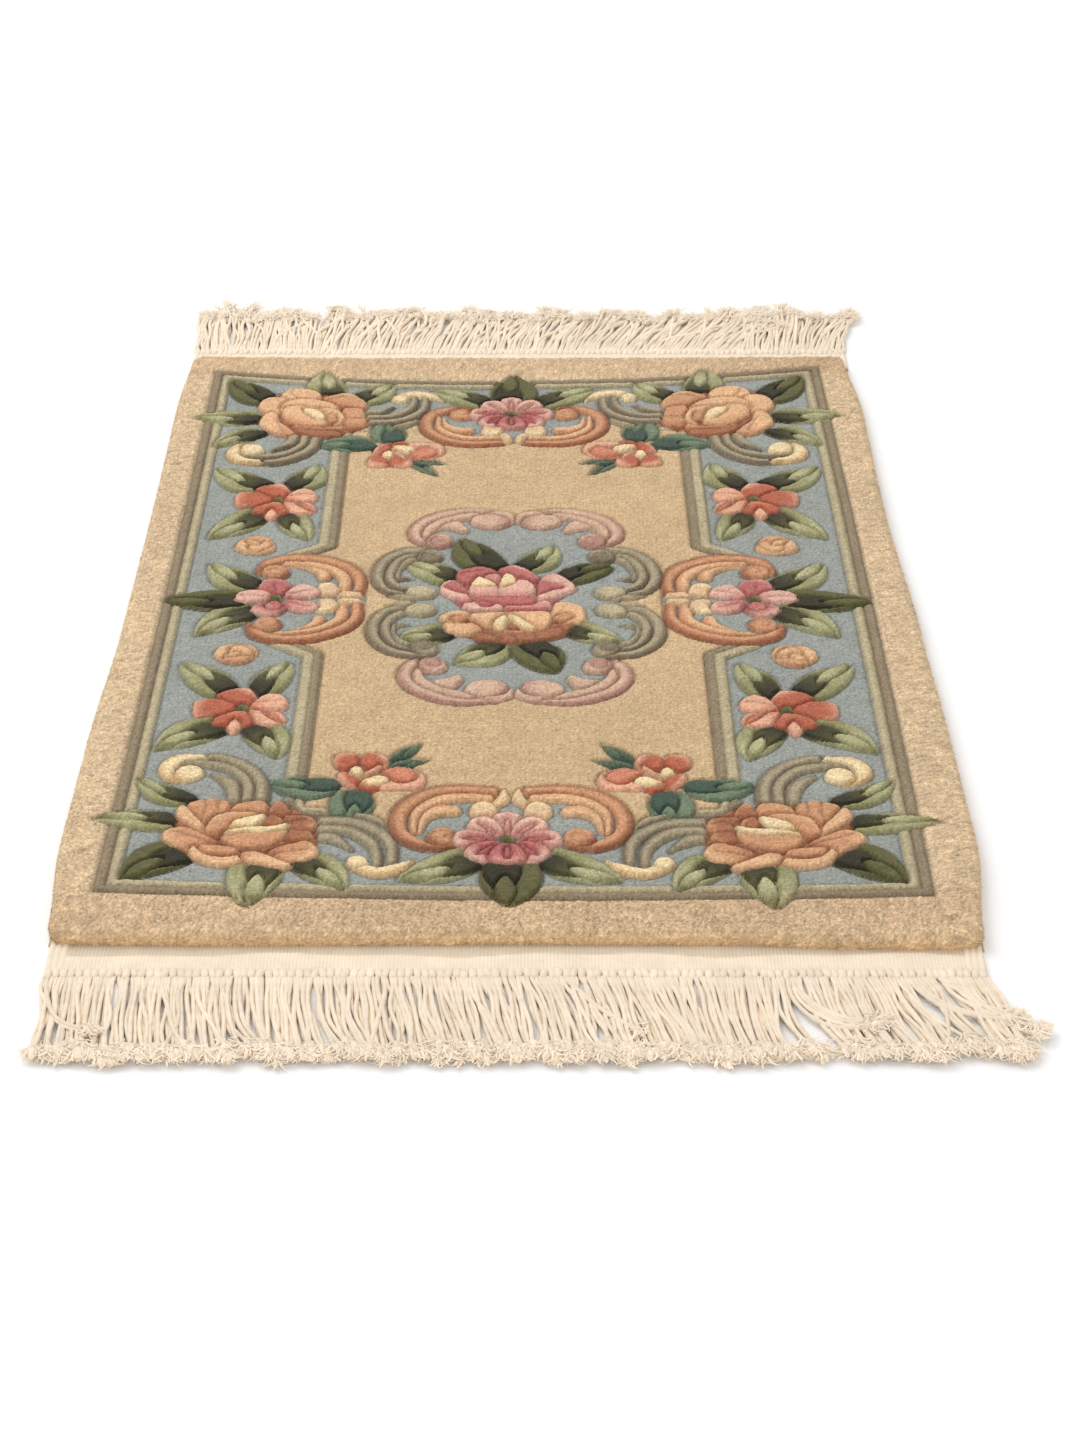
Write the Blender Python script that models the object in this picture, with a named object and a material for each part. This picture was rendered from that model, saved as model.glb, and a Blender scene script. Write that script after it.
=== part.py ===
"""A carved, hand-knotted wool rug with a floral border and medallion, lying flat.

X runs across the rug, Y along it and away from the viewer, and +Z is up. The origin is
the middle of the underside. The rug is one woven body, with a bare woven band at each
end. Each fringe is a row of knots with its cords, in a solid of its own. Sizes are in
millimetres in the tables, and metres in the meshes.
"""

import math

import bmesh
import bpy
from mathutils import Vector
from mathutils.geometry import delaunay_2d_cdt

MM = 0.001

# The body
HALF_LENGTH = 457.5
CORNER_RADIUS = 14.0
FOUNDATION_Z = 2.2
RIM_Z = 6.0
GROUND_Z = 12.0
FIELD_Z = 13.6
CROWN_Z = 15.6
BAND_LENGTH = 27.0
BAND_HALF_WIDTH = 302.0

# How far the pile's edge lies from the middle line: y, left, right
EDGE_ROWS = (
    (-457.5, 303, 303),
    (-350.0, 309, 312),
    (-220.0, 308, 311),
    (-50.0, 303, 308),
    (150.0, 302, 302),
    (350.0, 303, 303),
    (457.5, 299, 296),
)

# The rounded rim: how far each ring lies in from the pile's edge, and its height
RIM_RINGS = ((0.0, RIM_Z), (2.5, 11.4), (8.0, FIELD_Z))

# The outer guard, two raised stripes: half-widths of its rings in the design, and heights
GUARD_HALF_WIDTH = 278.0
GUARD_HALF_LENGTH = 420.0
RIDGE_Z = 14.4
GUARD_RINGS = (
    (3.0, FIELD_Z),
    (0.0, GROUND_Z),
    (-4.0, RIDGE_Z),
    (-8.5, GROUND_Z),
    (-12.5, RIDGE_Z),
    (-16.5, GROUND_Z),
)

# The weave's drift: how far a point of the design lies from its true place, at the
# near, middle and far rows and the left, middle and right columns
DRIFT_X = ((-3, -4, -1), (1, -4, -1), (1, -5, -5))
DRIFT_Y = ((7, -3, 2), (-8, -8, -10), (7, -17, 17))

# One quarter of the beige field's edge, from the near end's middle to the left side's
FIELD_QUARTER = (
    (0, -290),
    (-45, -292),
    (-75, -310),
    (-84, -332),
    (-100, -322),
    (-128, -316),
    (-145, -316),
    (-145, -88),
    (-170, -74),
    (-140, -62),
    (-120, -35),
    (-116, 0),
)
FIELD_SLOPE = 3.5

# One quarter of the medallion's ground, from its near middle to its left side
MEDALLION_CENTRE = (2, -5)
MEDALLION_QUARTER = (
    (0, -136),
    (-45, -142),
    (-78, -118),
    (-76, -98),
    (-100, -76),
    (-108, -40),
    (-90, -12),
    (-86, 0),
)

# How far a motif's crown lies in from its outline
CROWN_INSET = 4.0

# Leaves: base x, base y, tip x, tip y, width. The border's stand in all four quarters.
BORDER_LEAVES = (
    (-229, -306, -265, -271, 20),
    (-226, -328, -287, -325, 24),
    (-217, -367, -262, -402, 27),
    (-166, -374, -175, -427, 30),
    (-147, -374, -109, -407, 24),
    (-22, -362, -72, -396, 25),
    (-215, -148, -252, -101, 27),
    (-192, -148, -167, -101, 25),
    (-210, -197, -259, -226, 26),
    (-191, -198, -169, -239, 26),
    (-203, -15, -246, -57, 27),
    (-125, -279, -169, -279, 24),
    (-111, -288, -112, -328, 28),
    (-87, -249, -64, -225, 10),
    (-82, -253, -59, -241, 9),
)
# These lie on the rug's middle lines, so each has one mirrored twin
END_LEAF = (0, -374, 1, -426, 34)
SIDE_LEAF = (-214, 0, -277, 0, 25)
MEDALLION_LEAVES = (
    (-18, 55, -46, 106, 30),
    (2, 60, 32, 96, 25),
    (38, 38, 77, 58, 25),
    (-48, 38, -86, 61, 26),
    (44, -40, 80, -62, 23),
    (-50, -48, -88, -57, 25),
    (-10, -68, -43, -99, 27),
    (2, -70, 29, -109, 29),
)
LEAF_STATIONS = (0.15, 0.45, 0.78)
MIDRIB = (0.25, 0.5, 0.78)

# Scrolls: a width at the middle, then the points that the stroke follows
BORDER_SCROLLS = (
    (21, ((-163, -298), (-170, -266), (-190, -246), (-222, -241), (-246, -253))),
    (17, ((-138, -338), (-106, -334), (-84, -350), (-80, -374))),
    (20, ((-14, -290), (-50, -290), (-76, -312), (-74, -346), (-52, -352))),
    (19, ((-190, -46), (-190, -66), (-158, -68), (-130, -46), (-126, -14))),
)
MEDALLION_SCROLLS = (
    (17, ((-18, 153), (-52, 150), (-80, 124), (-80, 98), (-62, 98))),
    (18, ((-66, 74), (-92, 74), (-106, 48), (-104, 24), (-76, 14))),
)
STROKE_STEPS = 6
STROKE_END = 0.55

# The inner guard's two ridges: width, then the points that each follows
INNER_GUARDS = (
    (8, ((-157, -262), (-157, -92), (-178, -76))),
    (8, ((-148.5, -262), (-148.5, -86), (-170, -70))),
    (7, ((-152, -296), (-148, -314), (-130, -317))),
)

# Knobs, buds and blooms: centre x, centre y, radius across, radius along, petals
BORDER_ROUNDS = (
    (-235, -263, 14, 10, 0),
    (-96, -385, 17, 9, 0),
    (-21, -308, 11, 9, 0),
    (-147, -8, 12, 9, 0),
    (-211, -90, 17, 16, 0),
    (-104, -256, 23, 19, 3),
    (-79, -269, 19, 20, 3),
    (-199, -171, 35, 34, 6),
    (-178, -337, 53, 46, 7),
)
END_BLOOM = (-2, -347, 35, 31, 7)
SIDE_BLOOM = (-186, 0, 33, 31, 7)
MEDALLION_ROUNDS = (
    (-16, 131, 15, 11, 0),
    (16, 131, 15, 11, 0),
    (-16, -131, 15, 11, 0),
    (16, -131, 15, 11, 0),
    (-70, 15, 10, 9, 0),
    (70, 15, 10, 9, 0),
    (-70, -15, 10, 9, 0),
    (70, -15, 10, 9, 0),
    (-1, -32, 59, 36, 7),
    (-6, 25, 55, 36, 7),
)
LOBE_WAVES = (0.86, 1.03, 1.03)
ROUND_POINTS = 8
KNOB_RADIUS = 20

# Points of the pattern this close are one, and a point this near an outline is on it
MERGE = 0.9
ON_OUTLINE = 0.6
NEAR_ENOUGH = 1e-5

# The fringes. A bay is how many of the strip's stations share one upper face.
STRANDS = 112
BAY = 15
KNOT_STRIP = 9.0
STRIP_Z = 3.0
STRIP_HALF_WIDTH = 301.0
STRIP_GAP = 0.3
STRAND_WIDTH = 3.0
STRAND_Z = 2.6
# Along each cord: distance from the knots, and its width and height as shares
STRAND_ROWS = ((30.0, 0.95, 1.0), (72.0, 0.95, 1.0), (92.0, 1.25, 0.9))
# How far the cords lean in step with each other: half-waves across the rug, phase, reach
SWAY_ROWS = ((2.3, 0.6, 3.4), (5.1, 1.9, 1.7))
# How uneven their ends are, and how fast that changes across the rug
LENGTH_SPREAD = 5.0
LENGTH_WAVES = (37.0, 11.0)
# How far the last ones on the right splay out, and from which share of the width
SPLAY = 12.0
SPLAY_FROM = 0.80

PALETTE = {
    "wool_beige": (0.72, 0.56, 0.38, 1.0),
    "cotton_cream": (0.86, 0.76, 0.62, 1.0),
}


def clear_scene():
    for thing in list(bpy.data.objects):
        bpy.data.objects.remove(thing, do_unlink=True)


def material(name, roughness):
    """A dull textile material of one of the palette's colours."""
    made = bpy.data.materials.new(name)
    made.use_nodes = True
    shader = made.node_tree.nodes["Principled BSDF"]
    shader.inputs["Base Color"].default_value = PALETTE[name]
    shader.inputs["Roughness"].default_value = roughness
    shader.inputs["Metallic"].default_value = 0.0
    return made


def parabola(three, share):
    """The value at share, from -1 to 1, of the parabola through three values."""
    low, middle, high = three
    bend = (low + high) / 2 - middle
    return middle + (high - low) / 2 * share + bend * share * share


def drift(table, x, y):
    """A drift table's value at a point of the design, in millimetres."""
    across = x / GUARD_HALF_WIDTH
    along = y / GUARD_HALF_LENGTH
    return parabola([parabola(row, across) for row in table], along)


def woven(point):
    """Where a point of the true design lies on the rug as it was woven."""
    x, y = point
    return Vector((x + drift(DRIFT_X, x, y), y + drift(DRIFT_Y, x, y)))


def edge_at(y):
    """The pile's left and right half-widths at y, smoothed between the table's rows."""
    for low, high in zip(EDGE_ROWS, EDGE_ROWS[1:]):
        if y <= high[0]:
            break
    share = (y - low[0]) / (high[0] - low[0])
    eased = share * share * (3 - 2 * share)
    return [low[i] + (high[i] - low[i]) * eased for i in (1, 2)]


def pile_ring(inset):
    """The pile's outline, inset by so much, as points in order, with round corners."""
    radius = max(CORNER_RADIUS - inset, 4.0)
    end = HALF_LENGTH - inset
    points = []
    for side_x, side_y, turn in ((1, -1, -90), (1, 1, 0), (-1, 1, 90), (-1, -1, 180)):
        half = edge_at(side_y * HALF_LENGTH)[0 if side_x < 0 else 1] - inset
        centre = Vector((side_x * (half - radius), side_y * (end - radius)))
        for step in range(4):
            angle = math.radians(turn + 30 * step)
            points.append(centre + radius * Vector((math.cos(angle), math.sin(angle))))
        points += ring_side(side_x, side_y, inset, end)
    return points


def ring_side(side_x, side_y, inset, end):
    """The points of the outline that follow the corner at (side_x, side_y)."""
    stations = (-0.72, -0.42, -0.12, 0.18, 0.48, 0.76)
    if side_x == 1 and side_y == -1:
        rows = [share * HALF_LENGTH for share in stations]
        return [Vector((edge_at(y)[1] - inset, y)) for y in rows]
    if side_x == -1 and side_y == 1:
        rows = [share * HALF_LENGTH for share in reversed(stations)]
        return [Vector((inset - edge_at(y)[0], y)) for y in rows]
    columns = [share * STRIP_HALF_WIDTH for share in (0.6, 0.2, -0.2, -0.6)]
    return [Vector((side_y * x, side_y * end)) for x in columns]


def guard_ring(inset):
    """One ring of the outer guard in the design, with points along each side."""
    half_x, half_y = GUARD_HALF_WIDTH + inset, GUARD_HALF_LENGTH + inset
    corners = [(-1, -1), (1, -1), (1, 1), (-1, 1)]
    ring = []
    for start, stop in zip(corners, corners[1:] + corners[:1]):
        for share in (0.0, 0.25, 0.5, 0.75):
            x = (start[0] + (stop[0] - start[0]) * share) * half_x
            y = (start[1] + (stop[1] - start[1]) * share) * half_y
            ring.append((x, y))
    return ring


def four_quarters(quarter):
    """A closed outline, from a quarter of it that starts near and ends at the left."""
    half = [(x, y) for x, y in quarter] + [(x, -y) for x, y in reversed(quarter[:-1])]
    return half + [(-x, y) for x, y in reversed(half[1:-1])]


def shrunk(outline, inset):
    """The outline moved in by inset along the bisector at each of its points."""
    count = len(outline)
    spots = [Vector(point) for point in outline]
    turn = sum(a.x * b.y - b.x * a.y for a, b in zip(spots, spots[1:] + spots[:1]))
    inward = 1 if turn > 0 else -1
    moved = []
    for i, spot in enumerate(spots):
        before = (spot - spots[i - 1]).normalized()
        after = (spots[(i + 1) % count] - spot).normalized()
        bisector = Vector((-(before + after).y, (before + after).x)).normalized()
        moved.append(spot + bisector * inset * inward)
    return moved


def leaf(row):
    """A pointed leaf's outline, and its midrib."""
    base_x, base_y, tip_x, tip_y, width = row
    base, tip = Vector((base_x, base_y)), Vector((tip_x, tip_y))
    along = (tip - base).normalized()
    across = Vector((-along.y, along.x)) * width / 2
    swell = [(s, math.sin(math.pi * s**0.8) ** 0.75) for s in LEAF_STATIONS]
    side = [base.lerp(tip, share) + across * reach for share, reach in swell]
    other = [base.lerp(tip, share) - across * reach for share, reach in reversed(swell)]
    return [base, *side, tip, *other], [base.lerp(tip, share) for share in MIDRIB]


def lobed(row):
    """A bloom's or knob's outline, waved where it has petals, and its crown."""
    x, y, radius_x, radius_y, lobes = row
    waves = LOBE_WAVES * lobes if lobes else (1.0,) * ROUND_POINTS
    rings = []
    for inset in (0.0, CROWN_INSET):
        ring = []
        for i, wave in enumerate(waves):
            angle = 2 * math.pi * i / len(waves)
            across, along = radius_x * wave - inset, radius_y * wave - inset
            ring.append(Vector((x + across * math.cos(angle), y + along * math.sin(angle))))
        rings.append(ring)
    if max(radius_x, radius_y) > KNOB_RADIUS:
        return rings[0], rings[1] + rings[1][:1]
    return rings[0], [Vector((x, y))]


def smooth_path(points, steps):
    """Evenly numbered points along a smooth curve through the given ones."""
    knots = [Vector(point) for point in points]
    knots = [2 * knots[0] - knots[1], *knots, 2 * knots[-1] - knots[-2]]
    path = []
    for i in range(steps):
        place = (len(points) - 1) * i / (steps - 1)
        span = min(int(place), len(points) - 2)
        t = place - span
        a, b, c, d = knots[span : span + 4]
        curve = 2 * b + (c - a) * t + (2 * a - 5 * b + 4 * c - d) * t * t
        path.append((curve + (3 * b - a - 3 * c + d) * t**3) / 2)
    return path


def stroke(row, steps=STROKE_STEPS, end=STROKE_END):
    """A broad stroke's outline, fullest at its middle, and its middle line."""
    width, points = row
    path = smooth_path(points, steps)
    left, right = [], []
    for i, spot in enumerate(path):
        ahead = path[min(i + 1, steps - 1)] - path[max(i - 1, 0)]
        across = Vector((-ahead.y, ahead.x)).normalized()
        swell = end + (1 - end) * math.sin(math.pi * i / (steps - 1))
        left.append(spot + across * width / 2 * swell)
        right.append(spot - across * width / 2 * swell)
    return left + right[::-1], path[1:-1]


def ridge(row):
    """A stripe of even width along its three points, and its middle line."""
    return stroke(row, steps=5, end=1.0)


def motifs():
    """Every raised motif, lowest first, as pairs of its outline and its crown's line."""
    every_quarter = [(1, 1), (-1, 1), (1, -1), (-1, -1)]
    drawn = []

    def add(shape, row, places, centre=(0, 0)):
        for across, along in places:
            pair = []
            for line in shape(row):
                pair.append([(x * across + centre[0], y * along + centre[1]) for x, y in line])
            drawn.append(pair)

    for row in INNER_GUARDS:
        add(ridge, row, every_quarter)
    for row in BORDER_LEAVES:
        add(leaf, row, every_quarter)
    add(leaf, END_LEAF, [(1, 1), (1, -1)])
    add(leaf, SIDE_LEAF, [(1, 1), (-1, 1)])
    for row in BORDER_SCROLLS:
        add(stroke, row, every_quarter)
    for row in BORDER_ROUNDS:
        add(lobed, row, every_quarter)
    add(lobed, END_BLOOM, [(1, 1), (1, -1)])
    add(lobed, SIDE_BLOOM, [(1, 1), (-1, 1)])
    for row in MEDALLION_LEAVES:
        add(leaf, row, [(1, 1)], MEDALLION_CENTRE)
    for row in MEDALLION_SCROLLS:
        add(stroke, row, every_quarter, MEDALLION_CENTRE)
    for row in MEDALLION_ROUNDS:
        add(lobed, row, [(1, 1)], MEDALLION_CENTRE)
    return drawn


def depth_in(point, ring):
    """How far a point lies inside a closed outline, or below 0 outside it."""
    inside, nearest = False, math.inf
    for a, b in zip(ring, ring[1:] + ring[:1]):
        if (a.y > point.y) != (b.y > point.y):
            crossing = a.x + (point.y - a.y) * (b.x - a.x) / (b.y - a.y)
            inside ^= point.x < crossing
        side = b - a
        share = (point - a).dot(side) / side.length_squared
        foot = a + side * min(max(share, 0.0), 1.0)
        nearest = min(nearest, (point - foot).length)
    return nearest if inside else -nearest


def stepped(depth, rings, low):
    """The height at a depth, from rings of (depth, height), or low outside them."""
    if depth < -ON_OUTLINE:
        return low
    for (first, height), (second, higher) in zip(rings, rings[1:]):
        if depth < second:
            share = max(depth - first, 0.0) / (second - first)
            return height + (higher - height) * share
    return rings[-1][1]


def relief(point, shapes):
    """The pile's height at a point of the rug: rim, margin, guard, ground and motifs."""
    z = stepped(depth_in(point, shapes["edge"]), RIM_RINGS, RIM_Z)
    guard_depths = [(GUARD_RINGS[0][0] - inset, height) for inset, height in GUARD_RINGS]
    z = stepped(depth_in(point, shapes["guard"]), guard_depths, z)
    slope = ((0.0, GROUND_Z), (FIELD_SLOPE, FIELD_Z))
    z = stepped(depth_in(point, shapes["field"]), slope, z)
    pit = ((0.0, FIELD_Z), (FIELD_SLOPE, GROUND_Z))
    z = stepped(depth_in(point, shapes["medallion"]), pit, z)
    swell = ((0.0, GROUND_Z), (CROWN_INSET, CROWN_Z))
    for outline, low, high in shapes["motifs"]:
        if low.x <= point.x <= high.x and low.y <= point.y <= high.y:
            z = stepped(depth_in(point, outline), swell, z)
    return z


def with_box(outline):
    """The outline with its lowest and highest corners."""
    low = Vector((min(p.x for p in outline), min(p.y for p in outline)))
    high = Vector((max(p.x for p in outline), max(p.y for p in outline)))
    return outline, low, high


def design_lines():
    """The pattern's closed rings, its open crown lines, and its shapes for relief."""
    rings = [pile_ring(inset) for inset, _ in RIM_RINGS]
    guard = [[woven(p) for p in guard_ring(inset)] for inset, _ in GUARD_RINGS]
    x0, y0 = MEDALLION_CENTRE
    field = four_quarters(FIELD_QUARTER)
    medallion = [(x + x0, y + y0) for x, y in four_quarters(MEDALLION_QUARTER)]
    grounds = []
    for outline in (field, medallion):
        grounds.append([woven(p) for p in outline])
        rings.append([woven(p) for p in shrunk(outline, FIELD_SLOPE)])
    pairs = [[[woven(p) for p in line] for line in pair] for pair in motifs()]
    rings += guard + grounds + [outline for outline, _ in pairs]
    shapes = {
        "edge": rings[0],
        "guard": guard[0],
        "field": grounds[0],
        "medallion": grounds[1],
        "motifs": [with_box(outline) for outline, _ in pairs],
    }
    return rings, [crown for _, crown in pairs], shapes


def carved_top():
    """The pile's upper surface: flat points, triangles and heights."""
    rings, crowns, shapes = design_lines()
    points, edges = [], []
    for line in [ring + ring[:1] for ring in rings] + crowns:
        edges += [(len(points) + i, len(points) + i + 1) for i in range(len(line) - 1)]
        points += line
    face = list(range(len(rings[0])))
    flat, _, triangles, *_ = delaunay_2d_cdt(points, edges, [face], 1, MERGE)
    return flat, triangles, [relief(point, shapes) for point in flat]


def rug_body():
    """The pile over its foundation, with the bare woven band at each end."""
    flat, triangles, heights = carved_top()
    mesh = bmesh.new()
    top = [mesh.verts.new((p.x * MM, p.y * MM, z * MM)) for p, z in zip(flat, heights)]
    for triangle in triangles:
        mesh.faces.new([top[i] for i in triangle])
    rim = ordered_rim(mesh)
    shoulder = wall(mesh, rim, FOUNDATION_Z * MM)
    add_bands_and_underside(mesh, shoulder)
    bmesh.ops.recalc_face_normals(mesh, faces=mesh.faces)
    return finished("rug_body", mesh, "wool_beige")


def ordered_rim(mesh):
    """The open rim's points in order round the rug, against the clock from above."""
    following = {}
    for edge in mesh.edges:
        if len(edge.link_faces) == 1:
            loop = edge.link_loops[0]
            following[loop.vert] = loop.link_loop_next.vert
    start = next(iter(following))
    rim = [start]
    while following[rim[-1]] is not start:
        rim.append(following[rim[-1]])
    turn = sum(a.co.x * b.co.y - b.co.x * a.co.y for a, b in zip(rim, rim[1:]))
    return rim if turn > 0 else rim[::-1]


def wall(mesh, ring, z):
    """An upright wall from a ring of points down to height z; returns its lower ring."""
    lower = [mesh.verts.new((v.co.x, v.co.y, z)) for v in ring]
    count = len(ring)
    for i in range(count):
        j = (i + 1) % count
        mesh.faces.new((ring[i], lower[i], lower[j], ring[j]))
    return lower


def end_run(ring, side):
    """The ring's points round the near (-1) or far (1) end, in the ring's order."""
    limit = (HALF_LENGTH - CORNER_RADIUS) * MM - NEAR_ENOUGH
    at_end = [side * v.co.y > limit for v in ring]
    first = next(i for i, found in enumerate(at_end) if found and not at_end[i - 1])
    turned = ring[first:] + ring[:first]
    return [v for v in turned if side * v.co.y > limit]


def add_bands_and_underside(mesh, shoulder):
    """The end bands' upper faces, the foundation's edge and the flat underside."""
    outline = []
    for side in (-1, 1):
        run = end_run(shoulder, side)
        outer = []
        for across in (side, -side):
            x, y = across * BAND_HALF_WIDTH, side * (HALF_LENGTH + BAND_LENGTH)
            outer.append(mesh.verts.new((x * MM, y * MM, FOUNDATION_Z * MM)))
        mesh.faces.new(outer + run[::-1])
        last = shoulder.index(run[-1])
        following = shoulder[last + 1 :] + shoulder[: last + 1]
        beyond = end_run(shoulder, -side)[0]
        outline += [run[0], *outer, run[-1], *following[: following.index(beyond)]]
    mesh.faces.new(wall(mesh, outline, 0.0)[::-1])


def finished(name, mesh, colour):
    """The object of a mesh, smooth but for its sharp edges, with its material."""
    data = bpy.data.meshes.new(name)
    mesh.to_mesh(data)
    mesh.free()
    data.shade_smooth()
    data.set_sharp_from_angle(angle=math.radians(40))
    made = bpy.data.objects.new(name, data)
    data.materials.append(bpy.data.materials[colour])
    bpy.context.scene.collection.objects.link(made)
    return made


def sway_at(share, along):
    """How far sideways a cord lies, by its place across the rug and along itself."""
    reach = SPLAY * max(0.0, share - SPLAY_FROM) / (1 - SPLAY_FROM)
    for waves, phase, lean in SWAY_ROWS:
        reach += lean * math.sin(waves * math.pi * share + phase)
    return reach * along * along


def strip(mesh, side):
    """The strip of knots, as a bar; returns each cord's place and its root face."""
    pitch = 2 * STRIP_HALF_WIDTH / STRANDS
    inner = side * (HALF_LENGTH + BAND_LENGTH + STRIP_GAP)
    outer = inner + side * KNOT_STRIP
    places = [pitch * (i + 0.5) - STRIP_HALF_WIDTH for i in range(STRANDS)]
    stations = [-STRIP_HALF_WIDTH]
    for x in places:
        stations += [x - STRAND_WIDTH / 2, x + STRAND_WIDTH / 2]
    stations.append(STRIP_HALF_WIDTH)
    low = [mesh.verts.new((x * MM, outer * MM, 0.0)) for x in stations]
    high = [mesh.verts.new((x * MM, outer * MM, STRIP_Z * MM)) for x in stations]
    back_low, back_high = [], []
    for i in range(0, len(stations), BAY):
        back_low.append(mesh.verts.new((stations[i] * MM, inner * MM, 0.0)))
        back_high.append(mesh.verts.new((stations[i] * MM, inner * MM, STRIP_Z * MM)))
    roots = []
    for i in range(len(stations) - 1):
        face = mesh.faces.new((low[i], low[i + 1], high[i + 1], high[i]))
        if i % 2:
            roots.append((places[i // 2], face))
    for k in range(len(back_low) - 1):
        bay = slice(k * BAY, (k + 1) * BAY + 1)
        mesh.faces.new((*low[bay], back_low[k + 1], back_low[k]))
        mesh.faces.new((*high[bay], back_high[k + 1], back_high[k]))
        mesh.faces.new((back_low[k], back_low[k + 1], back_high[k + 1], back_high[k]))
    for end in (0, -1):
        mesh.faces.new((low[end], high[end], back_high[end], back_low[end]))
    return roots


def grow_cord(mesh, root, x, side):
    """Draws one cord out of its root face, section by section, resting level."""
    share = x / STRIP_HALF_WIDTH
    quick, quicker = LENGTH_WAVES
    longer = LENGTH_SPREAD * math.sin(quick * share + quicker * share * share)
    length = STRAND_ROWS[-1][0]
    start = HALF_LENGTH + BAND_LENGTH + STRIP_GAP + KNOT_STRIP
    face = root
    for along, width, height in STRAND_ROWS:
        face = bmesh.ops.extrude_discrete_faces(mesh, faces=[face])["faces"][0]
        reach = along + longer * (along == length)
        middle = x + sway_at(share, reach / length)
        centre = sum(v.co.x for v in face.verts) / len(face.verts)
        for v in face.verts:
            offset = math.copysign(STRAND_WIDTH / 2 * width, v.co.x - centre)
            z = STRAND_Z * height if v.co.z > MM else 0.0
            v.co = ((middle + offset) * MM, side * (start + reach) * MM, z * MM)


def fringe(name, side):
    """A fringe: its knots as one narrow strip, and the cords that grow from it."""
    mesh = bmesh.new()
    for x, root in strip(mesh, side):
        grow_cord(mesh, root, x, side)
    bmesh.ops.recalc_face_normals(mesh, faces=mesh.faces)
    return finished(name, mesh, "cotton_cream")


def main():
    clear_scene()
    material("wool_beige", 0.95)
    material("cotton_cream", 0.9)
    rug_body()
    fringe("near_fringe", -1)
    fringe("far_fringe", 1)


main()
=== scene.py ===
"""The looks of a carved, hand-knotted wool rug that lies flat on a pale floor.

The pattern is drawn in the rug's design, in millimetres: u runs across from the middle
line, and v along. Each motif raises the pile, leaves a groove round itself and gives its
wool a colour. The weave's drift then moves the design to its place on the rug.
"""

import math

import bpy
import numpy as np
from mathutils import Euler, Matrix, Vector


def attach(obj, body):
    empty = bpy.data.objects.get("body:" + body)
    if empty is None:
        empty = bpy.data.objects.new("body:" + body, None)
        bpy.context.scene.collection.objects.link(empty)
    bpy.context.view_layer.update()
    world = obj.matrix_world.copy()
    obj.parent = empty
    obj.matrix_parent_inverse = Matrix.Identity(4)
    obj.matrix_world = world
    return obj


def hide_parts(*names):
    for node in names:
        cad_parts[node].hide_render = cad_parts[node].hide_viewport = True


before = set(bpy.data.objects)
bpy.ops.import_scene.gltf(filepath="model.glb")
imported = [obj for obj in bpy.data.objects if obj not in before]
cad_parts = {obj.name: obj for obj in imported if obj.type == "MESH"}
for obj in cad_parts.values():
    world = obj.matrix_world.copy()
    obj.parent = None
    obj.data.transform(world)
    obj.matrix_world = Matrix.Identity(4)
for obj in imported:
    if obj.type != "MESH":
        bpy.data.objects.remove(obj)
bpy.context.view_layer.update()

MM = 0.001
SEED = 7

# The pile's outline, rim and sides, in millimetres
HALF_WIDTH = 303.0
HALF_LENGTH = 457.5
CORNER = 10.0
RIM = 5.0
OVER = 12.0
FLARE = 1.2
FOOT_Z = 0.3

# The heights of its parts, and how a motif swells up from the groove round it
MARGIN_Z = 13.8
FIELD_Z = 13.6
GROUND_Z = 12.2
MOTIF_Z = 15.2
UNDER_PETAL_DROP = 1.4
SWELL = 2.3
CROWN = 0.5
CROWN_REACH = 5.0
GROOVE = 1.1
GROOVE_DEPTH = 2.0
GROOVE_SHARE = 0.7
# How much a groove darkens the wool: painted shade, and partly the deeper wool the cut shows
GROOVE_SHADE = 0.34

# Its knots' spacing, its loose fibres, and how many pieces it is made in
KNOT_PITCH = 3.2
FIBRES = 90000
FIBRE_LENGTH = (1.4, 3.8)
FIBRE_RISE = (0.3, 1.2)
FIBRE_HALF_WIDTH = (0.25, 0.45)
# Fibres' tones against the pile's colour: painted shade at their roots, painted light at their tips
FIBRE_ROOT_SHADE = (0.84, 0.82, 0.79)
FIBRE_TIP_LIGHT = (1.17, 1.17, 1.18)
PILE_STRIPS = 4
# Its unevenness: by how many mm, over how many of its points. Then its dye's, as a share
HEIGHT_PATCHES = ((0.45, 60), (0.3, 9))
DYE_PATCHES = ((0.035, 40), (0.05, 3))
# A warm tint on the margin's wool: painted warm light, bounced into the shade between its fibres
MARGIN_BOUNCE_TINT = (1.0, 0.97, 0.93)

# The woven bands at the ends, in millimetres
BAND_TOP = 2.4
BAND_HALF_WIDTH = 302.0
BAND_END = 490.0
BAND_FOOT_Z = 0.3
BAND_COLUMNS = 760
SELVEDGE = 12.0
SELVEDGE_CORDS = 3
SELVEDGE_RISE = 1.2
RIB = 2.4
RIB_RISE = 0.28
CREAM_RISE = 0.5
# Where the pile shades a band, and where its cream edge starts, as distances out
PILE_SHADOW = (457.0, 462.0)
CREAM_START = (469.5, 471.5)
# How far out a band's rows of points lie: the last of them falls to the floor
BAND_ROWS = (453.0, 458, 462, 465, 467, 469, 471, 473, 475, 479, 484, BAND_END, BAND_END)

# The fringe's knots and cords, in millimetres
KNOTS = 120
KNOT_END = 496.0
KNOT_HALF_LENGTH = 5.4
KNOT_HALF_HEIGHT = 2.5
KNOT_MIDDLE_Z = 1.9
CORDS_A_KNOT = 3
CORD_RADIUS = 1.6
CORD_LENGTH = 77.0
CORD_STEPS = 13
CORD_SIDES = 6
# How the plies wind round a cord: so many plies in so many of its steps
PLIES_WOUND = 4.0
STEPS_WOUND = 6.0
# How high a ply stands out of its cord, in metres
PLY_BUMP = 0.00025

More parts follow.
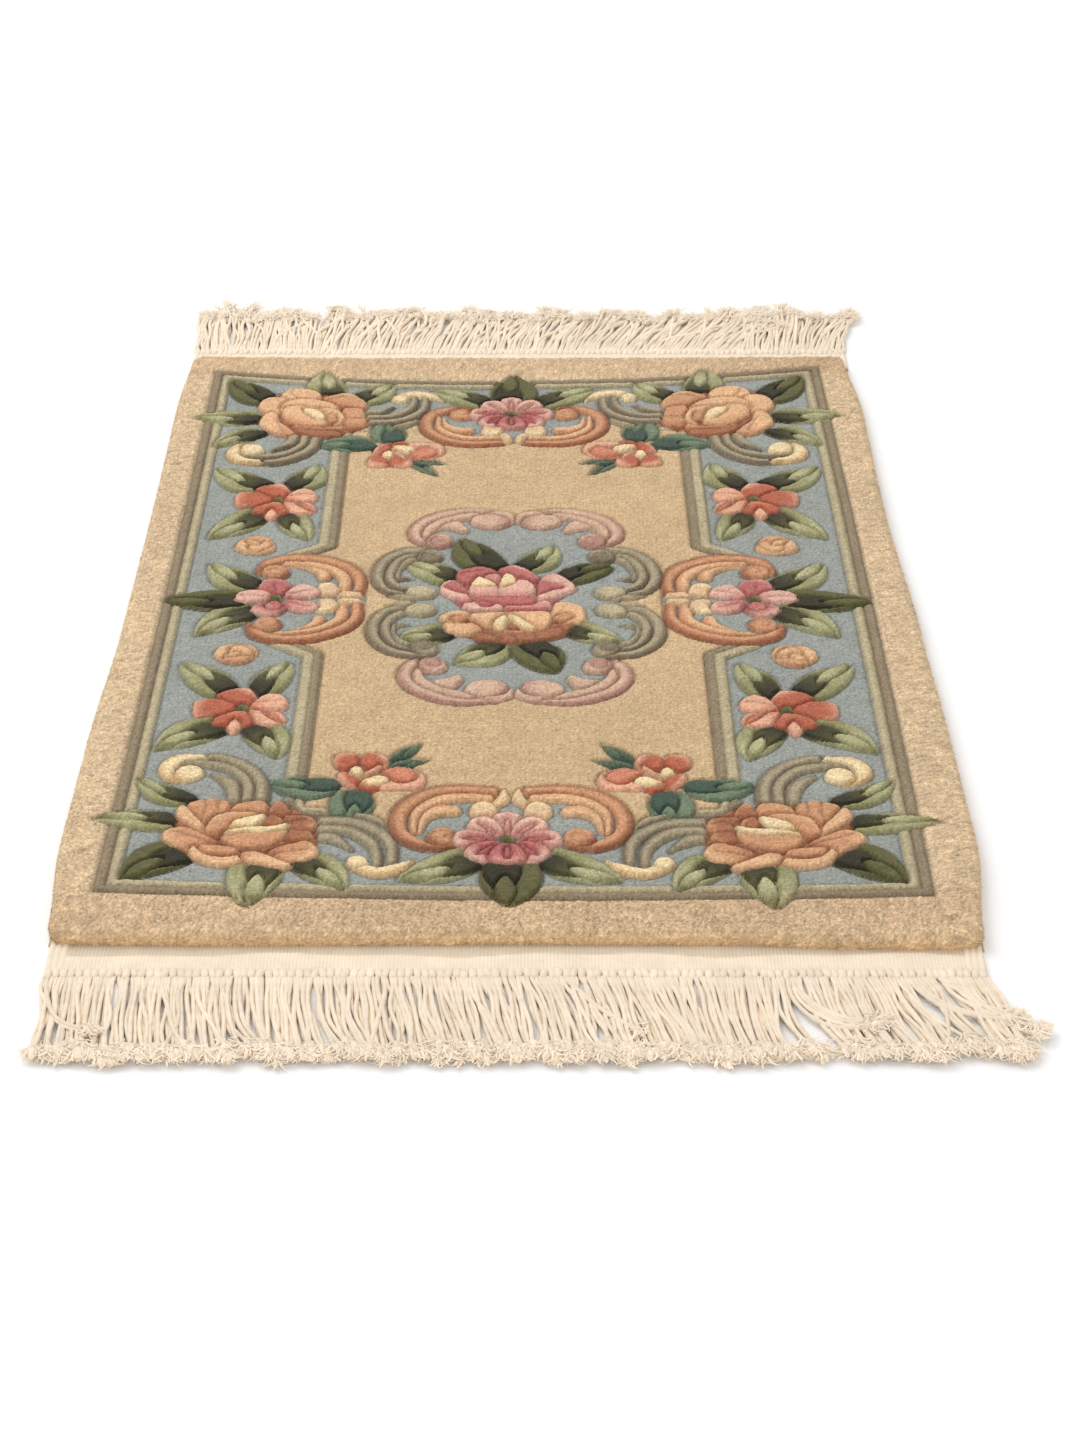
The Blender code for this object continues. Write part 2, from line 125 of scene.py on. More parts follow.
# The underside: it has one in so many of the pile's grid lines, and duller colours
UNDERSIDE_STRIDE = 4
UNDERSIDE_INSET = 0.3
UNDERSIDE_TONE = 0.9
FOUNDATION_Z = 0.15

# The outer guard round the pattern, where the painted shade of the end margins starts in
# metres, and the spacing of points: fine in the pattern, coarser in the margin
GUARD_U = 278.0
GUARD_V = 420.0
END_SHADE_RAMP = (0.40, 0.43)
GUARD_DARK = 8.5
GUARD_WIDTH = 16.5
FINE = 1.45
COARSE = 2.3
RIM_STEP = 1.6

# How far the pile's edge lies from the middle line: y, left, right
EDGE_ROWS = (
    (-457.5, 303, 303),
    (-350.0, 309, 312),
    (-220.0, 308, 311),
    (-50.0, 303, 308),
    (150.0, 302, 302),
    (350.0, 303, 303),
    (457.5, 299, 296),
)

# How far the pile's ends lie from the middle line: x, near, far
END_ROWS = (
    (-303.0, 458.0, 457.5),
    (-200.0, 460.0, 457.5),
    (0.0, 458.0, 457.5),
    (150.0, 459.0, 457.5),
    (205.0, 463.0, 457.5),
    (303.0, 464.0, 457.5),
)

# The weave's drift at the near, middle and far rows, and the left to right columns
DRIFT_U = ((-3, -4, -1), (1, -4, -1), (1, -5, -5))
DRIFT_V = ((7, -3, 2), (-8, -8, -10), (7, -17, 17))

# The photograph's view: where it is taken from in metres, its angle down in degrees, its
# lens in mm, and how far it is shifted across, in pixels of the photograph
CAMERA_PLACE = (0.0086, -1.9976, 1.0933)
CAMERA_ANGLE = 30.896
CAMERA_LENS = 72.4
CAMERA_SHIFT = 11
PHOTO_HEIGHT = 1440

# The floor, in metres and linear light, and the light from all round
FLOOR_SIZE = 60.0
FLOOR_COLOUR = (0.96, 0.96, 0.96, 1)
SKY_STRENGTH = 0.78

# The wool's and the cotton's colours, in 8-bit sRGB. The margin's end tone is painted shade;
# its side tone is partly the yarn's deeper colour, partly painted shade
COLOURS = {
    "margin": (219, 195, 161),
    "margin_end_shade": (212, 185, 151),
    "margin_side_deep_and_shade": (217, 188, 148),
    "field": (204, 174, 134),
    "blue": (152, 156, 150),
    "guard_dark": (146, 130, 105),
    "guard_light": (186, 172, 138),
    "leaf_dark": (46, 44, 31),
    "leaf": (96, 94, 58),
    "leaf_light": (146, 143, 99),
    "leaf_pale": (181, 178, 137),
    "teal": (64, 84, 72),
    "teal_light": (112, 128, 104),
    "orange_dark": (164, 106, 77),
    "orange": (203, 149, 111),
    "orange_light": (224, 178, 136),
    "coral_dark": (181, 99, 74),
    "coral": (208, 134, 105),
    "coral_light": (228, 172, 142),
    "pink_dark": (184, 106, 102),
    "pink": (206, 144, 131),
    "pink_light": (224, 176, 158),
    "cream": (238, 214, 168),
    "cream_deep": (220, 186, 138),
    "peach": (222, 188, 148),
    "grey": (132, 118, 96),
    "grey_light": (169, 155, 127),
    "mauve": (183, 138, 122),
    "mauve_light": (209, 173, 148),
    "cotton": (241, 225, 203),
    "cotton_shade": (216, 200, 176),
}


def linear(name):
    """A named colour in linear light."""
    share = np.array(COLOURS[name]) / 255
    return np.where(share <= 0.04045, share / 12.92, ((share + 0.055) / 1.055) ** 2.4)


WOOL = {name: linear(name) for name in COLOURS}


def ease(value, low, high):
    """0 below low, 1 above high, and smooth between."""
    share = np.clip((value - low) / (high - low), 0, 1)
    return share * share * (3 - 2 * share)


def signed_power(value, power):
    """A power of the value's size, its sign kept."""
    return np.sign(value) * np.abs(value) ** power


def blended(first, second, share):
    """Two colours, or fields of them, mixed by a field of shares."""
    share = np.asarray(share)[..., None]
    return first * (1 - share) + second * share


def parabola(three, share):
    """The value at share, from -1 to 1, of the parabola through three values."""
    low, middle, high = three
    return middle + (high - low) / 2 * share + ((low + high) / 2 - middle) * share**2


def drift(table, u, v):
    return parabola([parabola(row, u / GUARD_U) for row in table], v / GUARD_V)


def spaced(*stretches):
    """Points from 0 outwards: each stretch is (end, spacing). The other side mirrors it."""
    points = [0.0]
    for end, spacing in stretches:
        count = max(1, round((end - points[-1]) / spacing))
        points += list(np.linspace(points[-1], end, count + 1)[1:])
    return np.array([-p for p in reversed(points[1:])] + points)


def patchy(shape, cell, rng):
    """A smooth random field from -1 to 1, whose patches are about cell points wide."""
    rows, columns = shape
    coarse = rng.uniform(-1, 1, (rows // cell + 3, columns // cell + 3))
    down, across = np.arange(rows) / cell, np.arange(columns) / cell
    i, j = down.astype(int), across.astype(int)
    a, b = ease(down - i, 0, 1)[:, None], ease(across - j, 0, 1)[None, :]
    near = coarse[np.ix_(i, j)] * (1 - b) + coarse[np.ix_(i, j + 1)] * b
    far = coarse[np.ix_(i + 1, j)] * (1 - b) + coarse[np.ix_(i + 1, j + 1)] * b
    return near * (1 - a) + far * a


class Pile:
    """The pile's surface on a grid of the design: its height, colour and shade."""

    def __init__(self):
        rim = ((HALF_WIDTH - CORNER, COARSE), (HALF_WIDTH + OVER, RIM_STEP))
        self.across = spaced((GUARD_U + 5, FINE), *rim)
        rim = ((HALF_LENGTH - CORNER, COARSE), (HALF_LENGTH + OVER, RIM_STEP))
        self.along = spaced((GUARD_V + 5, FINE), *rim)
        self.shape = (len(self.along), len(self.across))
        self.z = np.full(self.shape, MARGIN_Z)
        self.colour = np.tile(WOOL["margin"], (*self.shape, 1))
        self.shade = np.ones(self.shape)

    def window(self, low, high):
        """The part of the grid between two corners, with its coordinates."""
        i = np.searchsorted(self.along, (low[1], high[1]))
        j = np.searchsorted(self.across, (low[0], high[0]))
        part = (slice(*i), slice(*j))
        u, v = np.meshgrid(self.across[part[1]], self.along[part[0]])
        return part, u, v

    def lay(self, part, depth, colour, height):
        """Raises a shape, given how deep each point lies in it, and grooves its edge, with painted
        shade in the groove.
        """
        inside = ease(depth, -0.5, 0.6)
        near = np.exp(-((depth / GROOVE) ** 2))
        rise = np.clip(depth / SWELL, 0, 1)
        top = GROUND_Z + (height - GROUND_Z) * np.sqrt(1 - (1 - rise) ** 2)
        top = top + CROWN * (1 - np.exp(-np.maximum(depth, 0) / CROWN_REACH))
        self.z[part] += (top - self.z[part]) * inside
        self.z[part] -= (self.z[part] - GROUND_Z + GROOVE_DEPTH) * near * GROOVE_SHARE
        self.colour[part] = blended(self.colour[part], colour, inside)
        own = 1 - GROOVE_SHADE * near
        self.shade[part] = np.where(depth > 0, own, np.minimum(self.shade[part], own))

    def cut(self, part, distance, width=1.1, depth=1.8, dark=0.30):
        """Cuts a fine groove along a line, given each point's distance from it, and darkens it with
        painted shade.
        """
        near = np.exp(-((distance / width) ** 2))
        self.z[part] -= depth * near
        self.shade[part] = np.minimum(self.shade[part], 1 - dark * near)


def around(points, reach):
    """The lowest and highest corners of some points, with reach to spare."""
    points = np.asarray(points)
    return points.min(0) - reach, points.max(0) + reach


def from_segment(u, v, start, end):
    """Each point's share of the way along a segment, and its distance from it."""
    du, dv = end[0] - start[0], end[1] - start[1]
    along = (u - start[0]) * du + (v - start[1]) * dv
    share = np.clip(along / (du * du + dv * dv), 0, 1)
    return share, np.hypot(u - start[0] - share * du, v - start[1] - share * dv)


def polygon_depth(u, v, outline):
    """How deep each point lies in a closed outline, or below 0 outside it."""
    nearest = np.full(u.shape, np.inf)
    inside = np.zeros(u.shape, bool)
    for start, end in zip(outline, outline[1:] + outline[:1]):
        nearest = np.minimum(nearest, from_segment(u, v, start, end)[1])
        (u0, v0), (u1, v1) = start, end
        if v0 != v1:
            crossed = (v0 > v) != (v1 > v)
            inside ^= crossed & (u < u0 + (v - v0) * (u1 - u0) / (v1 - v0))
    return np.where(inside, nearest, -nearest)


def placed(point, across, along, centre=(0, 0)):
    """A point of one quarter of the design, mirrored into another."""
    return (point[0] * across + centre[0], point[1] * along + centre[1])


def mirrored(turn, across=1, along=1):
    """The direction of a turn in degrees, mirrored where asked."""
    turn = math.radians(turn)
    return np.array((math.cos(turn) * across, math.sin(turn) * along))


def angle_of(direction):
    return math.atan2(direction[1], direction[0])


def smooth_path(points, steps):
    """Points along a smooth curve through the given ones, at even shares of it."""
    knots = np.asarray(points, float)
    knots = np.vstack([2 * knots[0] - knots[1], knots, 2 * knots[-1] - knots[-2]])
    return through(knots, np.linspace(0, len(points) - 1, steps))


def rounded(points, steps=5):
    """A closed outline that runs smoothly through the given points."""
    knots = np.vstack([points[-1:], points, points[:2]])
    place = np.arange(len(points) * steps) / steps
    return [tuple(point) for point in through(knots, place)]


def through(knots, place):
    """Points of the smooth curve through all the knots but the first and last."""
    span = np.minimum(place.astype(int), len(knots) - 4)
    t = (place - span)[:, None]
    a, b, c, d = (knots[span + k] for k in range(4))
    curve = 2 * b + (c - a) * t + (2 * a - 5 * b + 4 * c - d) * t**2
    return (curve + (3 * b - a - 3 * c + d) * t**3) / 2


def egg(pile, centre, radii, turn, tones, height=MOTIF_Z, taper=0.0):
    """An oval petal, knob or bud. Its tones run from its foot, at -1, to its head."""
    part, u, v = pile.window(*around([centre], max(radii) * 1.3 + 4))
    c, s = math.cos(turn), math.sin(turn)
    along = (u - centre[0]) * c + (v - centre[1]) * s
    across = (v - centre[1]) * c - (u - centre[0]) * s
    a, b = along / radii[0], across / (radii[1] * (1 + taper * np.clip(along / radii[0], -1, 1)))
    ring = np.hypot(a, b) + 1e-6
    depth = (1 - ring) * ring / np.hypot(a / radii[0], b / radii[1])
    foot, middle, head = (WOOL[tone] for tone in tones)
    colour = blended(blended(foot, middle, ease(a, -1.0, -0.1)), head, ease(a, 0.0, 0.9))
    pile.lay(part, depth, colour, height)
    return part, a, b


class Leaf:
    """A leaf's own coordinates: t, from 0 at its base to 1 at its tip, and s, across it."""

    def __init__(self, base, tip, bend, side):
        self.base = np.array(base, float)
        self.length = math.dist(base, tip)
        self.forward = (np.array(tip, float) - self.base) / self.length
        self.sideways = np.array((-self.forward[1], self.forward[0])) * side
        self.bend = bend

    def lobe(self, pile, row, width, tones):
        """One lobe: from t0 to t1, its width and place across as shares of the leaf's."""
        t0, t1, wide, s, skew, height = row
        half, s = wide * width / 2, s * width
        middle = self.base + self.forward * self.length * (t0 + t1) / 2
        part, u, v = pile.window(*around([middle], self.length * (t1 - t0) / 2 + half + 6))
        t = (u - self.base[0]) * self.forward[0] + (v - self.base[1]) * self.forward[1]
        t = t / self.length
        across = (u - self.base[0]) * self.sideways[0] + (v - self.base[1]) * self.sideways[1]
        across = across - s - self.bend * np.sin(math.pi * np.clip(t, -0.1, 1.1))
        share = signed_power((t - t0) / (t1 - t0), skew)
        length = self.length * (t1 - t0) / 2
        radius = (length**2 + half**2) / (2 * half)
        lengthwise = (share - 0.5) * 2 * length
        depth = radius - np.hypot(lengthwise, np.abs(across) + radius - half)
        foot, head = tones
        tone = blended(WOOL[foot], WOOL[head], ease(share, 0.35, 1.0))
        pile.lay(part, depth, tone, height)


# A leaf's lobes: from, to, width and place across as shares, skew, and height in mm
BLADE = (0.0, 1.0, 1.14, 0.0, 0.78, MOTIF_Z - 0.4)
HOLLOW = (-0.04, 0.76, 0.70, -0.15, 0.72, MOTIF_Z - 0.5)
FOLD = (0.42, 1.0, 0.40, -0.10, 0.9, MOTIF_Z + 0.2)
LEAF_TONES = {
    "leaf": ("leaf_dark", "leaf", "leaf_light", "leaf_pale"),
    "shaded": ("leaf_dark", "leaf_dark", "leaf", "leaf"),
    "teal": ("teal", "teal", "teal_light", "teal_light"),
}


def leaf(pile, base, tip, width, bend, side, tones):
    """A leaf: its blade, the dark hollow near its base and the pale fold of its edge."""
    dark, plain, light, pale = LEAF_TONES[tones]
    shape = Leaf(base, tip, bend, side)
    shape.lobe(pile, BLADE, width, (light, pale))
    shape.lobe(pile, HOLLOW, width, (dark, plain))
    shape.lobe(pile, FOLD, width, (pale, light))


def stroke(pile, path, width, tones, ends=(1.0, 1.0), height=MOTIF_Z, groove=False):
    """A strand along a path, its ends as shares of its width, its first tone outside."""
    path = np.asarray(path, float)
    share = np.linspace(0, 1, len(path))
    first = ends[0] + (1 - ends[0]) * ease(share, 0, 0.35)
    last = ends[1] + (1 - ends[1]) * ease(1 - share, 0, 0.55)
    radius = width / 2 * first * last
    part, u, v = pile.window(*around(path, width / 2 + 4))
    depth = np.full(u.shape, -np.inf)
    across = np.zeros(u.shape)
    for start, end, near, far in zip(path, path[1:], radius, radius[1:]):
        along, distance = from_segment(u, v, start, end)
        reach = near + (far - near) * along
        nearer = reach - distance > depth
        depth = np.where(nearer, reach - distance, depth)
        du, dv = end - start
        side = (du * (v - start[1]) - dv * (u - start[0])) / math.hypot(du, dv) / reach
        across = np.where(nearer, side, across)
    ahead, behind = path[2:] - path[1:-1], path[1:-1] - path[:-2]
    turning = (behind[:, 0] * ahead[:, 1] - behind[:, 1] * ahead[:, 0]).sum()
    across = across * (-1 if turning > 0 else 1)
    outer, inner = (WOOL[tone] for tone in tones)
    pile.lay(part, depth, blended(inner, outer, ease(across, -0.1, 0.5)), height)
    if groove:
        pile.cut(part, np.where(depth > 0.8, (across - 0.15) * width / 2, np.inf))


def curl(pile, centre, radius, breadth, turn, tones, rolled):
    """The end of a scroll: a knob, with a groove that winds into it where it is rolled."""
    part, a, b = egg(pile, centre, (radius, radius * breadth), turn, tones, MOTIF_Z + 0.2)
    if rolled:
        ring = np.hypot(a, b)
        angle = np.arctan2(b, a)
        line = (ring - 0.42 - 0.10 * angle) * radius
        line = np.where((ring < 0.85) & (angle > -1.8), line, np.inf)
        pile.cut(part, line, width=1.0, depth=1.4, dark=0.26)


# The green heart of an open flower: its radii and tones
HEART = (5.2, 5.2)
HEART_TONES = ("leaf", "leaf", "leaf_light")
# What a petal's foot, middle and head take of its family's colours
PETAL_SHADES = {
    "dark": ("_dark", "_dark", ""),
    "deep": ("_dark", "_dark", "_dark"),
    "under": ("_dark", "_dark", "_dark"),
    "rim": ("_dark", "_dark", "_light"),
    "plain": ("_dark", "", ""),
    "half": ("_dark", "", "_light"),
    "light": ("", "_light", "_light"),
    "pale": ("_light", "_light", "_light"),
}


def petal_tones(family, shade):
    """The colours of a petal's foot, middle and head."""
    if shade == "cream":
        return ("cream_deep", "cream", "cream")
    if shade == "cup":
        return (family, family, "cream_deep")
    return [family + end for end in PETAL_SHADES[shade]]


def petal(pile, points, direction, tones, height):
    """A petal with a closed outline, its tones from foot to head, and a paler rim."""
    outline = rounded(points)
    part, u, v = pile.window(*around(outline, 4))
    middle = points.mean(0)
    reach = np.abs((points - middle) @ direction).max()
    share = ((u - middle[0]) * direction[0] + (v - middle[1]) * direction[1]) / reach
    foot, body, head = (WOOL[tone] for tone in tones)
    colour = blended(blended(foot, body, ease(share, -1.0, -0.1)), head, ease(share, 0.1, 0.9))
    depth = polygon_depth(u, v, outline)
    rim = (1 - ease(depth, 1.8, 4.0)) * ease(share, -0.5, 0.3)
    pile.lay(part, depth, blended(colour, head, 0.6 * rim), height)


def engrave(pile, points):
    """A fine groove along a smooth path."""
    path = smooth_path(points, 5 * len(points))
    part, u, v = pile.window(*around(path, 4))
    distances = [from_segment(u, v, *ends)[1] for ends in zip(path, path[1:])]
    pile.cut(part, np.min(distances, axis=0), depth=1.6, dark=0.32)


def flower(pile, centre, rows, family, across=1, along=1):
    """Lays a flower's petals and grooves, the lowest first, mirrored where asked."""
    for shade, *turn, points in rows:
        points = np.array(points, float) * (across, along) + centre
        if shade == "groove":
            engrave(pile, points)
            continue
        direction = mirrored(turn[0], across, along)
        height = MOTIF_Z - UNDER_PETAL_DROP if shade == "under" else MOTIF_Z
        petal(pile, points, direction, petal_tones(family, shade), height)


def bud(pile, centre, rows, family, across, along):
    """Lays a bud's oval petals, the lowest first, mirrored where asked."""
    for u, v, long, wide, turn, shade in rows:
        turn = angle_of(mirrored(turn, across, along))
        spot = placed((u, v), across, along, centre)
        egg(pile, spot, (long, wide), turn, petal_tones(family, shade), taper=0.22)


def bloom(pile, centre, rows, family):
    """An open flower: petals with a dark streak each, round a small green heart."""
    for angle, reach, long, wide, shade in rows:
        away = mirrored(angle)
        turn = angle_of(away)
        tones = petal_tones(family, shade)
        egg(pile, centre + away * reach, (long, wide), turn, tones, taper=0.34)
        dark = (family + ("" if shade == "light" else "_dark"),) * 3
        streak = centre + away * reach * 0.95
        egg(pile, streak, (long * 0.62, wide * 0.22), turn, dark, MOTIF_Z - 0.6)
    egg(pile, centre, HEART, 0.0, HEART_TONES)


def open_flower(pile, centre, rows, family, across):
    """A flower of broad petals round a small green heart."""
    flower(pile, centre, rows, family, across)
    egg(pile, centre, HEART, 0.0, HEART_TONES)


# Flowers by outlines, the lowest row first. A petal's row: its shade, the way its head
# points in degrees, and its points from the flower's middle. A groove's row: its points
NEAR_ROSE = (
    ("under", 90, ((-46, 26), (-12, 34), (24, 30), (44, 8), (46, -30), (12, -44), (-32, -38),
        (-50, -16))),
    ("plain", 90, ((-16, 22), (-11, 31), (0, 35), (9, 34), (14, 25), (11, 18), (-2, 21),
        (-12, 14))),
    ("dark", 80, ((14, 32), (19, 35), (25, 29), (28, 19), (25, 12), (18, 7), (11, 15))),
    ("plain", 80, ((-47, 28), (-37, 36), (-25, 38), (-15, 32), (-17, 19), (-28, 8), (-34, -6),
        (-42, 8))),
    ("groove", ((-22, 37), (-24, 28), (-22, 20))),
    ("groove", ((-34, 36), (-32, 26), (-33, 14))),
    ("light", 130, ((-53, 24), (-47, 29), (-38, 16), (-29, 2), (-20, -11), (-27, -13), (-44, 5),
        (-52, 14))),
    ("dark", 0, ((22, 14), (32, 17), (44, 14), (48, 4), (44, -4), (46, -11), (34, -17),
        (24, -14), (20, 0))),
    ("groove", ((25, -1), (35, -4), (45, -3))),
    ("groove", ((27, 6), (36, 9), (43, 7))),
    ("half", -30, ((13, -36), (19, -26), (32, -19), (42, -16), (50, -24), (50, -34), (41, -42),
        (22, -41))),
    ("groove", ((20, -34), (33, -30), (42, -28))),
    ("half", 170, ((-60, -12), (-56, -4), (-45, 0), (-31, -8), (-18, -19), (-14, -26),
        (-38, -30), (-52, -23))),
    ("groove", ((-51, -7), (-34, -15), (-18, -23))),
    ("light", 240, ((-39, -30), (-33, -24), (-7, -27), (0, -33), (0, -43), (-9, -49), (-22, -48),
        (-34, -41))),
    ("plain", 90, ((-33, -24), (-20, -23), (-6, -26), (-4, -34), (-14, -38), (-26, -35))),
    ("light", -60, ((-3, -33), (6, -29), (15, -33), (26, -40), (34, -46), (28, -51), (14, -48),
        (2, -43))),
    ("half", 120, ((-29, 6), (-24, 16), (-8, 21), (8, 19), (-4, 13), (-13, 2), (-16, -11),
        (-22, -14), (-30, -4))),
    ("dark", 0, ((5, 14), (15, 17), (23, 12), (24, 4), (12, 3))),
    ("cup", 90, ((-18, -14), (-15, -5), (-6, 0), (8, 0), (25, 3), (27, -8), (20, -20), (8, -26),
        (-8, -25))),
    ("cream", 60, ((-14, 0), (-11, 9), (0, 15), (11, 18), (10, 10), (5, 4), (-6, -1))),
    ("cream", 20, ((-17, -5), (-5, 0), (8, 2), (18, 3), (28, 7), (25, -2), (12, -6), (-2, -7),
        (-13, -10))),
)
FAR_ROSE = (
    ("under", 90, ((-30, 48), (4, 46), (40, 42), (44, -20), (8, -38), (-30, -36), (-44, -12),
        (-44, 22))),
    ("pale", 90, ((-32, 35), (-31, 45), (-24, 53), (-13, 56), (-1, 53), (6, 43), (2, 33),
        (-14, 30), (-24, 30))),
    ("groove", ((-23, 48), (-21, 40), (-16, 34))),
    ("pale", 150, ((-51, 11), (-50, 23), (-43, 33), (-33, 35), (-24, 31), (-25, 15), (-30, 3),
        (-43, 2))),
    ("half", 60, ((6, 35), (14, 44), (27, 50), (36, 47), (46, 35), (49, 25), (44, 17), (24, 13),
        (15, 25))),
    ("groove", ((14, 34), (28, 42), (40, 38))),
    ("plain", 90, ((25, 15), (37, 19), (46, 15), (48, 3), (50, -9), (48, -21), (40, -26),
        (32, -26), (28, -17))),
    ("groove", ((29, -2), (38, -4), (47, -3))),
    ("light", 130, ((-48, -15), (-45, -3), (-38, 3), (-31, -1), (-28, -15), (-12, -37),
        (-28, -43), (-46, -25))),
    ("groove", ((-34, -10), (-28, -24), (-24, -36))),
    ("pale", 90, ((-31, 8), (-29, 23), (-18, 32), (0, 34), (16, 27), (25, 14), (17, 4), (-8, 10),
        (-23, 10))),
    ("deep", 90, ((-20, -22), (-8, -26), (8, -26), (24, -26), (28, -36), (27, -42), (6, -44),
        (-12, -36))),
    ("plain", 90, ((-18, -19), (-3, -22), (12, -24), (24, -20), (29, -15), (29, -27), (17, -31),
        (-8, -28))),
    ("pale", 60, ((-4, 16), (10, 17), (20, 15), (27, 8), (30, -5), (26, -15), (20, -20),
        (12, -12), (8, 2))),
    ("plain", 90, ((12, 1), (20, 5), (23, -8), (18, -17), (12, -8))),
    ("light", 60, ((-29, 8), (-25, 16), (-13, 19), (-1, 16), (10, 10), (14, -15), (7, -21),
        (-8, -23), (-26, -9))),
    ("cream", 40, ((-10, 13), (0, 14), (9, 7), (12, -5), (4, -9), (-6, 2))),
)
PINK_ROSE = (
    ("under", 90, ((-38, 20), (-12, 26), (18, 18), (40, 8), (48, -10), (24, -38), (-28, -40),
        (-46, -14))),
    ("rim", 60, ((-10, 23), (-2, 30), (5, 32), (13, 28), (20, 20), (24, 13), (22, 3), (13, 9),
        (5, 14), (-4, 16))),
    ("deep", 120, ((-42, 15), (-40, 23), (-32, 27), (-22, 31), (-12, 26), (-6, 18), (-12, 12),
        (-34, 0), (-40, 2))),
    ("groove", ((-38, 16), (-30, 20), (-20, 22))),
    ("plain", 90, ((-20, 13), (-12, 18), (-4, 15), (-6, 3), (-10, -1), (-14, 6))),
    ("light", -30, ((24, 0), (26, 10), (33, 17), (38, 19), (52, 2), (54, -8), (48, -15),
        (36, -23), (22, -26))),
    ("deep", 180, ((23, 1), (33, 2), (46, -5), (34, -12), (24, -17))),
    ("light", 200, ((-54, -7), (-52, 3), (-42, 7), (-34, -3), (-24, -20), (-32, -25), (-44, -23),
        (-52, -15))),
    ("deep", 100, ((-50, -3), (-42, 3), (-35, -6), (-28, -17), (-38, -15), (-46, -9))),
    ("light", 240, ((-36, -39), (-34, -32), (-28, -31), (-22, -25), (-6, -27), (-2, -33),
        (-4, -42), (-26, -45))),
    ("dark", 90, ((-24, -30), (-17, -29), (-10, -30), (-13, -38), (-20, -38))),
    ("half", 90, ((-2, -31), (4, -33), (18, -32), (28, -28), (34, -30), (34, -39), (26, -44),
        (8, -45), (-2, -43))),
    ("dark", 90, ((-30, -16), (-15, -20), (4, -22), (22, -20), (20, -34), (0, -36), (-14, -31),
        (-26, -26))),
    ("light", 90, ((-31, -7), (-26, 0), (-7, -3), (8, 7), (16, 6), (22, -3), (22, -15),
        (18, -22), (-24, -22))),
    ("groove", ((-7, -4), (-8, -14), (-6, -21))),
    ("cream", 90, ((-30, -4), (-27, 8), (-23, 14), (-18, 10), (-11, 3), (-8, -4), (-18, -5))),
    ("cream", 90, ((-7, -4), (-5, 14), (-1, 18), (5, 15), (7, 7), (4, 0), (-2, -5))),
)
ORANGE_ROSE = (
    ("under", 90, ((-46, 8), (-20, 12), (22, 14), (46, 22), (48, 2), (28, -26), (-22, -26),
        (-46, -14))),
    ("deep", 270, ((-31, -12), (-11, -15), (17, -15), (33, -8), (39, -12), (37, -22), (8, -33),
        (-27, -30))),
    ("groove", ((-27, -16), (-18, -21), (-9, -29))),
    ("groove", ((-2, -18), (0, -24), (3, -31))),
    ("groove", ((15, -18), (17, -24), (19, -29))),
    ("light", 40, ((30, 28), (33, 32), (41, 33), (49, 30), (55, 23), (56, 13), (55, 1), (45, -2),
        (29, 0), (28, 8))),
    ("plain", 40, ((30, 8), (39, 16), (47, 8), (38, 1), (30, 1))),
    ("light", 130, ((-57, 12), (-45, 19), (-37, 17), (-29, 12), (-31, 3), (-39, -2), (-52, 0),
        (-59, 6))),
    ("plain", 130, ((-50, 6), (-44, 10), (-34, 7), (-36, 1), (-48, 2))),
    ("light", 200, ((-55, -2), (-42, -3), (-31, -3), (-24, -10), (-27, -18), (-39, -21),
        (-51, -17), (-54, -9))),
    ("light", 90, ((-33, 6), (-31, 14), (-5, 17), (13, 18), (25, 18), (30, 9), (25, -12),
        (17, -16), (-11, -16))),
    ("cream", 90, ((-15, -13), (-16, 2), (-8, 12), (-3, 13), (-5, 2), (-7, -13))),
    ("cream", 90, ((-6, 13), (2, 11), (10, 2), (18, -9), (13, -13), (6, -10), (-1, 3))),
    ("deep", 90, ((-4, 0), (2, -4), (6, -12), (-5, -12))),
)
CORAL_FLOWER = (
    ("rim", 60, ((-22, 16), (-17, 23), (-7, 28), (3, 28), (8, 21), (11, 11), (2, 0), (-5, 3),
        (-13, 10))),
    ("rim", 170, ((-38, 4), (-34, 11), (-25, 13), (-15, 11), (-2, 0), (-13, -10), (-24, -13),
        (-34, -14))),
    ("dark", 90, ((-21, -19), (-16, -12), (0, -3), (7, -8), (11, -16), (10, -25), (3, -29),
        (-9, -27), (-19, -26))),
    ("light", 270, ((-10, -29), (-4, -16), (2, -26), (-3, -37))),
    ("light", 30, ((5, 0), (12, 16), (21, 21), (29, 18), (34, 9), (31, -2), (21, -4))),
    ("groove", ((10, 6), (20, 9), (29, 10))),
    ("light", -30, ((4, -3), (16, -5), (27, -5), (34, -14), (31, -23), (23, -27), (13, -24),
        (9, -16))),
    ("plain", -30, ((16, -8), (24, -9), (31, -18), (27, -20))),
)
SIDE_FLOWER = (
    ("rim", 100, ((-16, 22), (-12, 29), (-3, 31), (8, 27), (11, 17), (2, 2), (-8, 8), (-16, 14))),
    ("groove", ((-4, 26), (-3, 17), (-1, 9))),
    ("light", 180, ((-34, 2), (-31, 9), (-19, 13), (-8, 10), (-1, 2), (-9, -5), (-24, -8),
        (-33, -4))),
    ("groove", ((-29, 2), (-19, 2), (-10, 1))),
    ("rim", 230, ((-20, -17), (-14, -27), (-5, -31), (5, -25), (10, -14), (2, -3), (-10, -8))),
    ("dark", 230, ((-9, -12), (-5, -20), (3, -20), (6, -12), (0, -5))),
    ("light", 45, ((5, 3), (9, 14), (16, 22), (25, 21), (33, 14), (34, 5), (24, 0), (12, -1))),
    ("groove", ((11, 5), (19, 9), (28, 11))),
    ("half", -30, ((7, -4), (18, -4), (31, -7), (35, -16), (27, -23), (16, -22), (8, -14))),
    ("groove", ((12, -9), (20, -13), (28, -16))),
)
